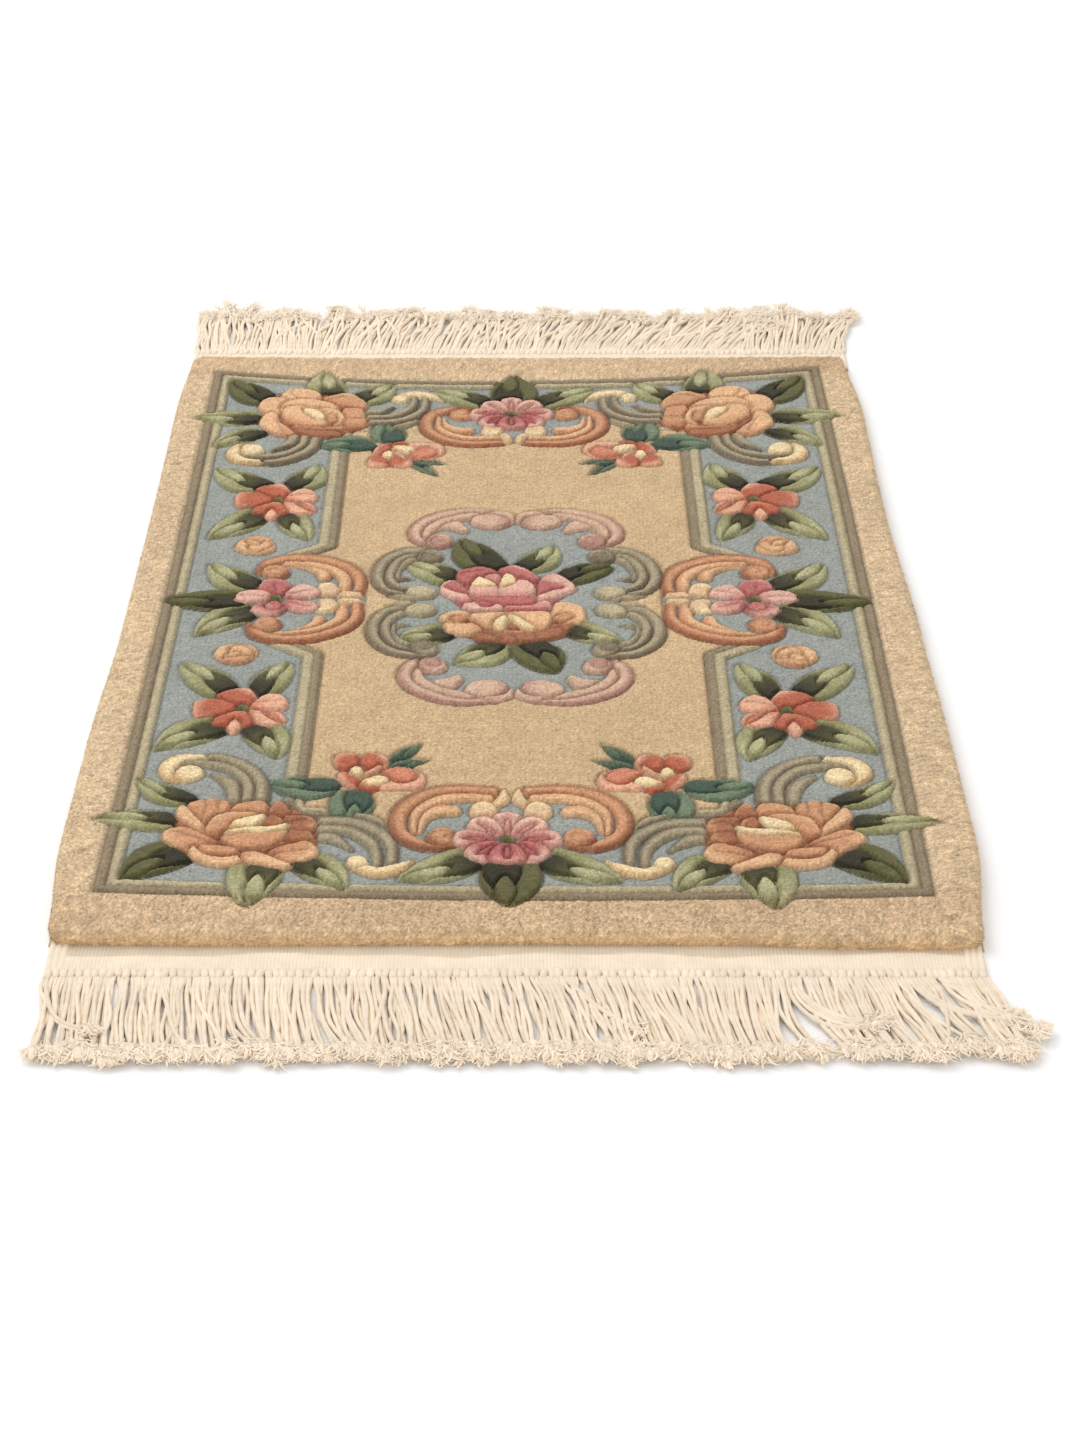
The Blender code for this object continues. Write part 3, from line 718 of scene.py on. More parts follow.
# The two small flowers, from the point between them
SMALL_FLOWERS = (
    ("rim", 120, ((-26, 10), (-27, 20), (-22, 26), (-10, 25), (-6, 18), (-10, 8), (-16, 2),
        (-22, 4))),
    ("rim", 30, ((-8, 20), (-2, 26), (7, 26), (13, 19), (12, 8), (7, 3), (0, 4), (-7, 8))),
    ("rim", 200, ((-23, -2), (-22, -10), (-16, -19), (-8, -24), (0, -22), (-2, -14), (-10, -6),
        (-16, 0))),
    ("light", -60, ((5, -6), (7, 3), (16, 9), (26, 9), (34, 4), (40, -4), (40, -14), (34, -22),
        (7, -23), (5, -14))),
    ("plain", 60, ((8, 0), (16, 6), (26, 6), (34, -2), (32, -10), (24, -15), (17, -12), (13, -5))),
    ("light", 60, ((-8, -6), (-4, -1), (4, 9), (9, 12), (6, 3), (-1, -5), (-6, -10))),
    ("dark", 90, ((-8, -18), (0, -15), (7, -18), (7, -24), (-2, -25))),
    ("cream", 90, ((-14, -2), (-15, 4), (-10, 9), (-5, 6), (-4, -2), (-8, -7))),
    ("cream", 20, ((-7, -13), (0, -7), (7, -4), (14, -7), (14, -13), (6, -17), (-2, -18))),
)
# An open flower's petals: direction in degrees, reach, half length, half width, shade
END_FLOWER = (
    (90, 19, 15, 12, "light"),
    (135, 20, 15, 11, "light"),
    (45, 20, 15, 11, "light"),
    (180, 23, 15, 11, "half"),
    (0, 23, 15, 11, "half"),
    (225, 21, 15, 12, "rim"),
    (-45, 21, 15, 12, "rim"),
    (270, 18, 14, 13, "dark"),
)
# A bud's petals: u, v, half length, half width, turn in degrees, shade
BUD = (
    (0, 0, 16, 17, 100, "light"),
    (4, 3, 11, 8, 150, "light"),
    (-3, -3, 8, 4, 30, "light"),
)

# Where the flowers of one quarter stand
ROSE_AT = (-180, -336)
SMALL_FLOWERS_AT = (-100, -262)
BUD_AT = (-211, -90)
CORAL_FLOWER_AT = (-199, -171)
END_FLOWER_AT = (-2, -347)
SIDE_FLOWER_AT = (-187, 0)

# Leaves of one quarter: base u, base v, tip u, tip v, width, bend, tones, side folded
BORDER_LEAVES = (
    (-222, -303, -266, -270, 22, 3, "leaf", 1),
    (-222, -332, -289, -325, 24, -3, "leaf", 1),
    (-213, -358, -262, -402, 33, -4, "shaded", -1),
    (-168, -366, -175, -431, 34, 0, "leaf", -1),
    (-147, -368, -108, -408, 28, 3, "leaf", 1),
    (-18, -362, -76, -396, 29, 4, "leaf", -1),
    (-209, -156, -254, -103, 29, -3, "leaf", 1),
    (-188, -154, -167, -101, 26, 3, "leaf", -1),
    (-206, -190, -260, -228, 31, -4, "leaf", -1),
    (-190, -190, -166, -240, 29, 3, "leaf", 1),
    (-200, -12, -248, -58, 30, -3, "leaf", -1),
    (-120, -282, -171, -277, 27, 3, "teal", 1),
    (-110, -284, -112, -332, 29, 0, "teal", -1),
    (-90, -253, -65, -221, 12, 0, "teal", 1),
    (-90, -255, -58, -243, 10, 0, "teal", 1),
)
END_LEAF = (0, -366, 1, -428, 38, 0, "shaded", 1)
SIDE_LEAF = (-208, 1, -279, -2, 28, 3, "shaded", -1)
# All leaves of the medallion, from its own middle
MEDALLION_LEAVES = (
    (-14, 50, -46, 109, 34, 3, "shaded", 1),
    (4, 50, 33, 97, 28, -3, "leaf", -1),
    (34, 34, 79, 60, 26, 3, "shaded", -1),
    (-44, 32, -88, 63, 28, -3, "leaf", 1),
    (38, -36, 82, -62, 25, -3, "leaf", 1),
    (-46, -44, -90, -58, 27, 3, "leaf", -1),
    (-8, -64, -45, -101, 31, 4, "leaf", 1),
    (4, -64, 30, -113, 34, 3, "shaded", -1),
)

# The scrolls' tones, on the outer side and the inner
GREY = ("grey", "grey_light")
LIGHT_GREY = ("grey_light", "grey_light")
ORANGE = ("orange_dark", "orange")
LIGHT_ORANGE = ("orange", "orange_light")
CREAM = ("cream_deep", "cream")
PEACH = ("peach", "peach")
MAUVE = ("mauve", "mauve_light")
LIGHT_MAUVE = ("mauve_light", "mauve_light")
# How the two big orange scrolls turn in at their ends
END_TURN = ((-72, -346), (-57, -356), (-42, -354))
SIDE_TURN = ((-198, -59), (-203, -45))
# Scrolls of one quarter: width, shares of it at both ends, tones, and the path's points
BORDER_SCROLLS = (
    (13, 1.0, 0.3, GREY, ((-191, -306), (-196, -280), (-212, -264))),
    (11, 1.0, 0.5, GREY, ((-183, -304), (-185, -276), (-199, -257), (-220, -250), (-236, -251))),
    (11, 1.0, 0.8, GREY, ((-173, -304), (-176, -274), (-189, -253), (-209, -241), (-230, -241))),
    (13, 0.6, 1.0, CREAM, ((-222, -241), (-238, -244), (-246, -255), (-242, -266), (-232, -270))),
    (8, 0.6, 0.4, LIGHT_GREY, ((-106, -318), (-92, -325), (-82, -337))),
    (12, 1.0, 0.3, GREY, ((-138, -346), (-122, -347), (-107, -361))),
    (11, 1.0, 0.7, GREY, ((-138, -336), (-114, -337), (-99, -347), (-91, -361), (-89, -380))),
    (11, 1.0, 0.8, GREY, ((-136, -326), (-110, -327), (-92, -337), (-81, -354), (-79, -376))),
    (12, 0.3, 0.9, CREAM, ((-64, -374), (-76, -385), (-90, -389), (-102, -383))),
    (15, 0.85, 0.4, LIGHT_ORANGE, ((-40, -311), (-51, -311), (-60, -319), (-63, -338))),
    (12, 0.8, 0.5, LIGHT_ORANGE, ((-16, -295), (-40, -294), (-56, -301), (-66, -316), (-67, -338))),
    (13, 0.8, 0.9, ORANGE, ((-12, -285), (-37, -283), (-59, -290), (-74, -307),
        (-78, -328), *END_TURN)),
    (10, 0.7, 0.9, PEACH, ((-5, -287), (-6, -297), (-14, -306))),
    (14, 0.85, 0.6, LIGHT_ORANGE, ((-151, -35), (-153, -45), (-164, -54), (-182, -57))),
    (12, 0.9, 0.5, LIGHT_ORANGE, ((-134, -12), (-134, -32), (-144, -47), (-162, -56), (-184, -58))),
    (13, 0.8, 0.9, ORANGE, ((-122, -10), (-122, -33), (-133, -52), (-155, -65),
        (-180, -67), *SIDE_TURN)),
    (10, 0.8, 0.9, PEACH, ((-122, -5), (-134, -6), (-144, -9))),
)
# Those of the medallion, from its own middle
MEDALLION_SCROLLS = (
    (17, 0.6, 0.5, LIGHT_MAUVE, ((-43, 123), (-52, 132), (-64, 131), (-73, 117))),
    (12, 0.6, 0.6, LIGHT_MAUVE, ((-18, 149), (-38, 148), (-56, 142), (-68, 130), (-73, 115),
        (-69, 106))),
    (12, 0.5, 0.9, MAUVE, ((-14, 156), (-38, 158), (-57, 152), (-74, 139), (-83, 121),
        (-80, 104), (-68, 95))),
    (9, 0.6, 0.9, LIGHT_MAUVE, ((-26, 150), (-13, 153), (-4, 148), (-4, 140))),
    (8, 0.9, 0.2, GREY, ((-100, 44), (-92, 39), (-81, 38))),
    (9, 0.7, 0.5, LIGHT_GREY, ((-77, 72), (-89, 66), (-95, 52), (-94, 38))),
    (10, 0.7, 0.6, GREY, ((-78, 17), (-93, 23), (-101, 38), (-99, 57), (-91, 73), (-76, 80))),
    (11, 0.6, 0.9, GREY, ((-84, 10), (-101, 16), (-110, 34), (-110, 54), (-103, 72), (-89, 85),
        (-69, 88))),
    (8, 0.4, 0.9, LIGHT_GREY, ((-100, 8), (-84, 6), (-68, 8))),
)

# Knobs of one quarter: u, v, radius, breadth as a share of it, turn in degrees, tones
# from foot to head, and whether rolled
BORDER_CURLS = (
    (-229, -264, 11.5, 0.9, 30, ("cream_deep", "cream", "cream"), False),
    (-103, -377, 8, 0.9, 0, ("cream_deep", "cream", "cream"), False),
    (-47, -345, 12, 0.9, 40, ("orange_dark", "orange", "orange"), True),
    (-19, -311, 11.5, 0.9, 90, ("peach", "peach", "cream"), False),
    (-191, -43, 12, 0.9, 200, ("orange_dark", "orange", "orange"), True),
    (-147, -13, 11.5, 0.9, 250, ("peach", "peach", "cream"), False),
)
MEDALLION_CURLS = (
    (-62, 103, 12.5, 0.9, 60, ("mauve", "mauve", "mauve_light"), True),
    (-21, 138, 17, 0.7, 172, ("mauve", "mauve_light", "mauve_light"), False),
    (-69, 76, 12, 0.9, 60, ("grey", "grey", "grey_light"), True),
    (-74, 15, 13, 0.75, 172, ("grey_light", "guard_light", "guard_light"), False),
)

# One quarter of the beige field's edge and of the medallion's, from near to left
FIELD_QUARTER = (
    (0, -290),
    (-45, -292),
    (-75, -310),
    (-84, -332),
    (-100, -322),
    (-128, -316),
    (-144, -316),
    (-144, -88),
    (-170, -72),
    (-140, -62),
    (-120, -35),
    (-116, 0),
)
MEDALLION_CENTRE = np.array((2.0, -5.0))
ORANGE_ROSE_AT = MEDALLION_CENTRE + (-1, -35)
PINK_ROSE_AT = MEDALLION_CENTRE + (-6, 28)
MEDALLION_QUARTER = (
    (0, -142),
    (-45, -150),
    (-76, -128),
    (-74, -98),
    (-98, -72),
    (-104, -38),
    (-92, -12),
    (-80, 0),
)

# The inner guard's stretches in one quarter: tones, and the points of its middle line
INNER_GUARD_WIDTH = 16.0
SIDE_STRETCH = ((-152, -268), (-152, -90), (-180, -70))
END_STRETCH = ((-152, -300), (-150, -311), (-146, -315), (-128, -316), (-104, -318), (-88, -334))
INNER_GUARD = (
    (("guard_dark", "guard_light"), SIDE_STRETCH),
    (("guard_light", "guard_dark"), END_STRETCH),
)

# How one quarter is mirrored, across and along: into all four, to both ends, to both sides
QUARTERS = ((1, 1), (-1, 1), (1, -1), (-1, -1))
ENDS = ((1, 1), (1, -1))
SIDES = ((1, 1), (-1, 1))


def four_quarters(quarter, centre=(0, 0)):
    """A closed outline, from a quarter of it that starts near and ends at the left."""
    half = list(quarter) + [(u, -v) for u, v in reversed(quarter[:-1])]
    whole = half + [(-u, v) for u, v in reversed(half[1:-1])]
    return [(u + centre[0], v + centre[1]) for u, v in whole]


def lay_grounds(pile):
    """The margin's inner edge, both guards, the blue ground, the field and medallion."""
    part, u, v = pile.window((-math.inf, -math.inf), (math.inf, math.inf))
    depth = np.minimum(GUARD_U - np.abs(u), GUARD_V - np.abs(v))
    pile.lay(part, depth, WOOL["guard_dark"], MARGIN_Z + 0.2)
    pile.lay(part, depth - GUARD_DARK, WOOL["guard_light"], MARGIN_Z + 0.4)
    pile.lay(part, depth - GUARD_WIDTH, WOOL["blue"], GROUND_Z)
    field = polygon_depth(u, v, four_quarters(FIELD_QUARTER))
    pile.lay(part, field, WOOL["field"], FIELD_Z)
    medallion = polygon_depth(u, v, four_quarters(MEDALLION_QUARTER, MEDALLION_CENTRE))
    pile.lay(part, medallion, WOOL["blue"], GROUND_Z)


def lay_inner_guard(pile):
    height = MARGIN_Z + 0.3
    for tones, points in INNER_GUARD:
        for across, along in QUARTERS:
            path = [placed(point, across, along) for point in points]
            stroke(pile, path, INNER_GUARD_WIDTH, tones, height=height, groove=True)


def lay_leaf(pile, row, across=1, along=1, centre=(0, 0)):
    u0, v0, u1, v1, width, bend, tones, side = row
    base = placed((u0, v0), across, along, centre)
    tip = placed((u1, v1), across, along, centre)
    leaf(pile, base, tip, width, bend * side, side * across * along, tones)


def lay_scroll(pile, row, across, along, centre=(0, 0)):
    width, first, last, tones, points = row
    path = [placed(point, across, along, centre) for point in points]
    stroke(pile, smooth_path(path, 7 * len(path)), width, tones, (first, last))


def lay_curl(pile, row, across, along, centre=(0, 0)):
    u, v, radius, breadth, turn, tones, rolled = row
    turn = angle_of(mirrored(turn, across, along))
    spot = placed((u, v), across, along, centre)
    curl(pile, spot, radius, breadth, turn, tones, rolled)


def lay_border(pile):
    """The border's leaves, scrolls, buds and flowers."""
    lay_inner_guard(pile)
    for across, along in QUARTERS:
        for row in BORDER_LEAVES:
            lay_leaf(pile, row, across, along)
    for across, along in ENDS:
        lay_leaf(pile, END_LEAF, across, along)
    for across, along in SIDES:
        lay_leaf(pile, SIDE_LEAF, across, along)
    for across, along in QUARTERS:
        for row in BORDER_SCROLLS:
            lay_scroll(pile, row, across, along)
        for row in BORDER_CURLS:
            lay_curl(pile, row, across, along)
    for across, along in QUARTERS:
        rose = NEAR_ROSE if along > 0 else FAR_ROSE
        flower(pile, placed(ROSE_AT, across, along), rose, "orange", across)
        spot = placed(SMALL_FLOWERS_AT, across, along)
        flower(pile, spot, SMALL_FLOWERS, "coral", across, along)
        bud(pile, placed(BUD_AT, across, along), BUD, "orange", across, along)
        spot = placed(CORAL_FLOWER_AT, across, along)
        open_flower(pile, spot, CORAL_FLOWER, "coral", across)
    for across, along in ENDS:
        bloom(pile, placed(END_FLOWER_AT, across, along), END_FLOWER, "pink")
    for across, along in SIDES:
        spot = placed(SIDE_FLOWER_AT, across, along)
        open_flower(pile, spot, SIDE_FLOWER, "pink", across)


def lay_medallion(pile):
    """The medallion's leaves, its ring of scrolls and its two roses."""
    for row in MEDALLION_LEAVES:
        lay_leaf(pile, row, centre=MEDALLION_CENTRE)
    for across, along in QUARTERS:
        for row in MEDALLION_SCROLLS:
            lay_scroll(pile, row, across, along, MEDALLION_CENTRE)
        for row in MEDALLION_CURLS:
            lay_curl(pile, row, across, along, MEDALLION_CENTRE)
    flower(pile, ORANGE_ROSE_AT, ORANGE_ROSE, "orange")
    flower(pile, PINK_ROSE_AT, PINK_ROSE, "pink")


def patches(pile, rows, rng, start=0):
    """A sum of smooth random fields over the pile, a row for each: its size and its cell."""
    return sum((size * patchy(pile.shape, cell, rng) for size, cell in rows), start)


def weather(pile, rng):
    """The hand-cut pile's unevenness and the wool's small differences in dyeing; it also lays in
    the grooves' painted shade and the margin's painted warm tint.
    """
    pile.z += patches(pile, HEIGHT_PATCHES, rng)
    u, v = np.meshgrid(pile.across, pile.along)
    margin = ease(np.maximum(np.abs(u) - GUARD_U, np.abs(v) - GUARD_V), -1.0, 2.0)
    pile.z += rng.normal(0, 1, pile.shape) * (0.20 + 0.10 * margin)
    colouring = patches(pile, DYE_PATCHES, rng, start=1)
    rows = 1 + 0.015 * rng.normal(0, 1, (pile.shape[0], 1))
    grain = 1 + rng.normal(0, 1, pile.shape) * (0.10 + 0.05 * margin)
    streaks = 1 + 0.10 * patchy(pile.shape, 2, rng) * margin
    pile.colour *= (colouring * rows * grain * streaks * pile.shade)[..., None]
    pile.colour *= blended(np.ones(3), np.array(MARGIN_BOUNCE_TINT), margin)


def rim_edge(y):
    """The pile's left and right half-widths at each y."""
    rows = np.array(EDGE_ROWS, float)
    span = np.clip(np.searchsorted(rows[:, 0], y) - 1, 0, len(rows) - 2)
    low, high = rows[span], rows[span + 1]
    share = ease(y, low[..., 0], high[..., 0])
    return [low[..., k] + (high[..., k] - low[..., k]) * share for k in (1, 2)]


def woven(u, v):
    """Where the design's points lie on the rug, its margin drawn out to the true edge."""
    in_u, in_v = np.clip(u, -GUARD_U, GUARD_U), np.clip(v, -GUARD_V, GUARD_V)
    x, y = in_u + drift(DRIFT_U, in_u, in_v), in_v + drift(DRIFT_V, in_u, in_v)
    past_v = np.clip((np.abs(v) - GUARD_V) / (HALF_LENGTH - GUARD_V), 0, None)
    places, nears, fars = np.array(END_ROWS).T
    near, far = np.interp(u, places, nears), np.interp(u, places, fars)
    y = y + (np.where(v < 0, -near, far) - y) * past_v
    past_u = np.clip((np.abs(u) - GUARD_U) / (HALF_WIDTH - GUARD_U), 0, None)
    left, right = rim_edge(y)
    x = x + (np.where(u < 0, -left, right) - x) * past_u
    return x, y


def surface(pile):
    """The pile's points in metres: flat on top, round at its rim, and down its sides."""
    u, v = np.meshgrid(pile.across, pile.along)
    core_u, core_v = HALF_WIDTH - CORNER, HALF_LENGTH - CORNER
    a, b = np.maximum(np.abs(u) - core_u, 0), np.maximum(np.abs(v) - core_v, 0)
    ring, reach = np.maximum(a, b), np.maximum(np.hypot(a, b), 1e-9)
    past = RIM - (CORNER - ring)
    angle = np.clip(past / RIM, 0, math.pi / 2)
    drop = RIM * (1 - np.cos(angle)) + np.maximum(past - RIM * math.pi / 2, 0)
    out = np.where(past > 0, CORNER - RIM + RIM * np.sin(angle), ring)
    flare = FLARE * np.sin(math.pi * np.clip(drop / MARGIN_Z, 0, 1))
    u = np.sign(u) * (np.minimum(np.abs(u), core_u) + a / reach * out)
    v = np.sign(v) * (np.minimum(np.abs(v), core_v) + b / reach * out)
    x, y = woven(u, v)
    x, y = x + np.sign(x) * a / reach * flare, y + np.sign(y) * b / reach * flare
    z = np.maximum(pile.z - drop, FOOT_Z)
    return np.stack([x, y, z], -1) * MM, drop


def normals_of(points):
    """Each grid point's unit normal, upwards."""
    down, across = np.gradient(points, axis=0), np.gradient(points, axis=1)
    normal = np.cross(across, down)
    return normal / np.maximum(np.linalg.norm(normal, axis=-1, keepdims=True), 1e-12)


def grid_faces(rows, columns):
    index = np.arange(rows * columns).reshape(rows, columns)
    a, b = index[:-1, :-1], index[:-1, 1:]
    c, d = index[1:, 1:], index[1:, :-1]
    return np.stack([a, b, c, d], -1).reshape(-1, 4)


def piece(name, points, faces, colours, material, normals=None):
    """A mesh piece of the rug, riding on it, with its wool's colour at each point, painted shade
    and light included.
    """
    mesh = bpy.data.meshes.new(name)
    points, faces = np.asarray(points, np.float32), np.asarray(faces, np.int32)
    mesh.vertices.add(len(points))
    mesh.vertices.foreach_set("co", points.ravel())
    mesh.loops.add(faces.size)
    mesh.loops.foreach_set("vertex_index", faces.ravel())
    mesh.polygons.add(len(faces))
    mesh.polygons.foreach_set("loop_start", np.arange(len(faces)) * faces.shape[1])
    mesh.update(calc_edges=True)
    mesh.shade_smooth()
    paint = mesh.color_attributes.new("colouring", "FLOAT_COLOR", "POINT")
    opaque = np.ones((len(points), 1))
    rgba = np.hstack([np.asarray(colours).reshape(-1, 3), opaque])
    paint.data.foreach_set("color", rgba.astype(np.float32).ravel())
    if normals is not None:
        mesh.normals_split_custom_set_from_vertices(np.asarray(normals, np.float32))
    mesh.materials.append(material)
    made = bpy.data.objects.new(name, mesh)
    bpy.context.scene.collection.objects.link(made)
    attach(made, "root")
    return made


def pile_pieces(pile, points, normals, material):
    """The pile, in strips across the rug so that each piece stays small."""
    cuts = np.linspace(0, pile.shape[0] - 1, PILE_STRIPS + 1).astype(int)
    made = []
    for k, (low, high) in enumerate(zip(cuts, cuts[1:])):
        part = slice(low, high + 1)
        faces = grid_faces(high + 1 - low, pile.shape[1])
        made.append(
            piece(
                f"pile_{k + 1}",
                points[part].reshape(-1, 3),
                faces,
                pile.colour[part],
                material,
                normals[part].reshape(-1, 3),
            )
        )
    return made


def scattered(pile, points, count, rng):
    """Random places on the margin and the pile's sides: their cells and their points."""
    u, v = np.meshgrid(pile.across, pile.along)
    edge = (np.abs(u) > GUARD_U + 2) | (np.abs(v) > GUARD_V + 2)
    cells = np.argwhere(edge[:-1, :-1])
    steps = np.outer(np.diff(pile.along), np.diff(pile.across))
    weight = steps[cells[:, 0], cells[:, 1]]
    chosen = cells[rng.choice(len(cells), count, p=weight / weight.sum())]
    i, j = chosen.T
    a, b = rng.random((2, count, 1))
    root = points[i, j] * (1 - a) * (1 - b) + points[i + 1, j + 1] * a * b
    root = root + points[i + 1, j] * a * (1 - b) + points[i, j + 1] * (1 - a) * b
    return i, j, root


def margin_fibres(pile, points, normals, material, rng):
    """Loose tips of wool that lean out over the margin and down the pile's sides."""
    count = FIBRES
    i, j, root = scattered(pile, points, count, rng)
    u, v = pile.across[j], pile.along[i]
    up = normals[i, j]
    heading = rng.uniform(-math.pi, math.pi, count)
    loose = np.stack([np.cos(heading), np.sin(heading), 0 * heading], -1)
    away = np.zeros((count, 3))
    away[:, 0] = np.sign(u) * (np.abs(u) > GUARD_U)
    away[:, 1] = np.sign(v) * (np.abs(v) > GUARD_V)
    lean = loose * 0.75 + away * 0.45
    lean -= up * (lean * up).sum(-1, keepdims=True)
    length = rng.uniform(*FIBRE_LENGTH, (count, 1)) * MM
    length *= 1 + 0.8 * ease(MARGIN_Z - root[:, 2:] / MM, 1.0, 4.0)
    reach = lean * length + up * rng.uniform(*FIBRE_RISE, (count, 1)) * MM
    tip = root + reach
    side = np.cross(reach, up)
    side /= np.maximum(np.linalg.norm(side, axis=-1, keepdims=True), 1e-9)
    half = side * rng.uniform(*FIBRE_HALF_WIDTH, (count, 1)) * MM
    root = root - up * 0.5 * MM
    corners = np.stack([root - half, root + half, tip], 1).reshape(-1, 3)
    corners[:, 2] = np.maximum(corners[:, 2], 0.4 * MM)
    # Each fibre takes the pile's colour, its painted shade included, with painted shade at its root
    # and painted light at its tip
    tone = pile.colour[i, j][:, None, :] * rng.normal(1, 0.12, (count, 1, 1))
    tone = tone * np.array((FIBRE_ROOT_SHADE, FIBRE_ROOT_SHADE, FIBRE_TIP_LIGHT))
    faces = np.arange(count * 3).reshape(-1, 3)
    shading = np.repeat(up, 3, axis=0)
    return piece("margin_fibres", corners, faces, tone, material, shading)


def node_tree(name):
    """A new material, with its nodes and its Principled shader."""
    material = bpy.data.materials.new(name)
    material.use_nodes = True
    nodes = material.node_tree.nodes
    return material, nodes, material.node_tree.links, nodes["Principled BSDF"]


def noise(nodes, links, place, scale, detail=2.0):
    made = nodes.new("ShaderNodeTexNoise")
    made.inputs["Scale"].default_value = scale
    made.inputs["Detail"].default_value = detail
    links.new(place, made.inputs["Vector"])
    return made.outputs["Fac"]


def ranged(nodes, links, value, source, target):
    """The value, from one range spread over another."""
    made = nodes.new("ShaderNodeMapRange")
    for side, (low, high) in (("From", source), ("To", target)):
        made.inputs[side + " Min"].default_value = low
        made.inputs[side + " Max"].default_value = high
    links.new(value, made.inputs["Value"])
    return made.outputs["Result"]


def tinted(nodes, links, colour, factor):
    """A colour times a number."""
    made = nodes.new("ShaderNodeVectorMath")
    made.operation = "SCALE"
    links.new(colour, made.inputs[0])
    links.new(factor, made.inputs["Scale"])
    return made.outputs["Vector"]


def bumped(nodes, links, height, shader, distance):
    made = nodes.new("ShaderNodeBump")
    made.inputs["Distance"].default_value = distance
    made.inputs["Strength"].default_value = 1.0
    links.new(height, made.inputs["Height"])
    links.new(made.outputs["Normal"], shader.inputs["Normal"])


def knotted(nodes, links, place, colour):
    """A colour with the rows of knots in it: each a tip of yarn, with painted shade at its rim
    between the knots.
    """
    knot = nodes.new("ShaderNodeTexVoronoi")
    knot.voronoi_dimensions = "2D"
    knot.inputs["Scale"].default_value = 1 / (KNOT_PITCH * MM)
    knot.inputs["Randomness"].default_value = 0.6
    links.new(place, knot.inputs["Vector"])
    shade = ranged(nodes, links, knot.outputs["Distance"], (0.1, 0.65), (1.06, 0.88))
    return tinted(nodes, links, colour, shade)


# Where the values of noise mostly lie
NOISE = (0.3, 0.7)


def textile(name, fine, coarse, contrast, bump, sheen, knotty=False):
    """Dyed yarn: the piece's own colours, painted shade and light included, a fine speckle, coarse
    patches and a soft nap.
    """
    material, nodes, links, shader = node_tree(name)
    colouring = nodes.new("ShaderNodeAttribute")
    colouring.attribute_name = "colouring"
    place = nodes.new("ShaderNodeTexCoord").outputs["Object"]
    speckle = noise(nodes, links, place, fine, 3.0)
    factor = ranged(nodes, links, speckle, NOISE, (1 - contrast, 1 + contrast))
    colour = tinted(nodes, links, colouring.outputs["Color"], factor)
    wide = noise(nodes, links, place, coarse)
    factor = ranged(nodes, links, wide, NOISE, (0.95, 1.05))
    colour = tinted(nodes, links, colour, factor)
    if knotty:
        colour = knotted(nodes, links, place, colour)
    links.new(colour, shader.inputs["Base Color"])
    bumped(nodes, links, speckle, shader, bump)
    shader.inputs["Roughness"].default_value = 0.95
    shader.inputs["Specular IOR Level"].default_value = 0.15
    shader.inputs["Sheen Weight"].default_value = sheen
    shader.inputs["Sheen Tint"].default_value = (1.0, 0.88, 0.72, 1)
    shader.inputs["Sheen Roughness"].default_value = 0.6
    return material


# How a textile looks: the scales of its speckle and patches, the speckle's contrast and
# the height of its bumps in metres, and its sheen
PILE = {"fine": 700.0, "coarse": 45.0, "contrast": 0.26, "bump": 0.0008, "sheen": 0.12}
FIBRE = {"fine": 500.0, "coarse": 45.0, "contrast": 0.06, "bump": 0.0001, "sheen": 0.15}
COTTON = {"fine": 900.0, "coarse": 60.0, "contrast": 0.05, "bump": 0.0003, "sheen": 0.1}
# The wave texture's scale at which a ply, one unit of its UVs, takes one wave
WAVE_A_UNIT = 0.314159


def cord_yarn():
    """Cotton cord: the textile with its two plies winding round it."""
    material = textile("cotton_cord", **COTTON)
    nodes, links = material.node_tree.nodes, material.node_tree.links
    place = nodes.new("ShaderNodeUVMap")
    place.uv_map = "ply"
    wave = nodes.new("ShaderNodeTexWave")
    wave.inputs["Scale"].default_value = WAVE_A_UNIT
    wave.inputs["Distortion"].default_value = 0.4
    links.new(place.outputs["UV"], wave.inputs["Vector"])
    bump = nodes["Bump"]
    second = nodes.new("ShaderNodeBump")
    second.inputs["Distance"].default_value = PLY_BUMP
    links.new(wave.outputs["Fac"], second.inputs["Height"])
    links.new(second.outputs["Normal"], bump.inputs["Normal"])
    return material


def build_pile(materials, rng):
    """The whole pile, painted, woven and dressed with loose fibres."""
    pile = Pile()
    lay_grounds(pile)
    lay_border(pile)
    lay_medallion(pile)
    weather(pile, rng)
    points, drop = surface(pile)
    normals = normals_of(points)
    # Down the pile's sides the wool darkens: partly its deeper yarn, partly painted shade. Towards
    # both ends the margin is painted darker: painted shade for the leaning nap
    side = ease(drop, 0.5, MARGIN_Z * 0.7)
    end = ease(np.abs(points[..., 1]), *END_SHADE_RAMP) * (1 - side)
    for name, share in (("margin_side_deep_and_shade", side), ("margin_end_shade", end)):
        pile.colour *= blended(np.ones(3), WOOL[name] / WOOL["margin"], share)
    made = pile_pieces(pile, points, normals, materials["pile"])
    made.append(margin_fibres(pile, points, normals, materials["fibre"], rng))
    return pile, made


def thinned(places, half):
    """Every few of the pile's grid lines, out to its edge: their indices and places."""
    index = np.unique(np.r_[0 : len(places) : UNDERSIDE_STRIDE, len(places) - 1])
    lines, first = np.unique(np.clip(places[index], -half, half), return_index=True)
    return index[first], lines


def lengthened(field, rows, end):
    """A grid's field with rows added past one end, the last of them outermost."""
    return np.concatenate([rows[::-1], field] if end < 0 else [field, rows])


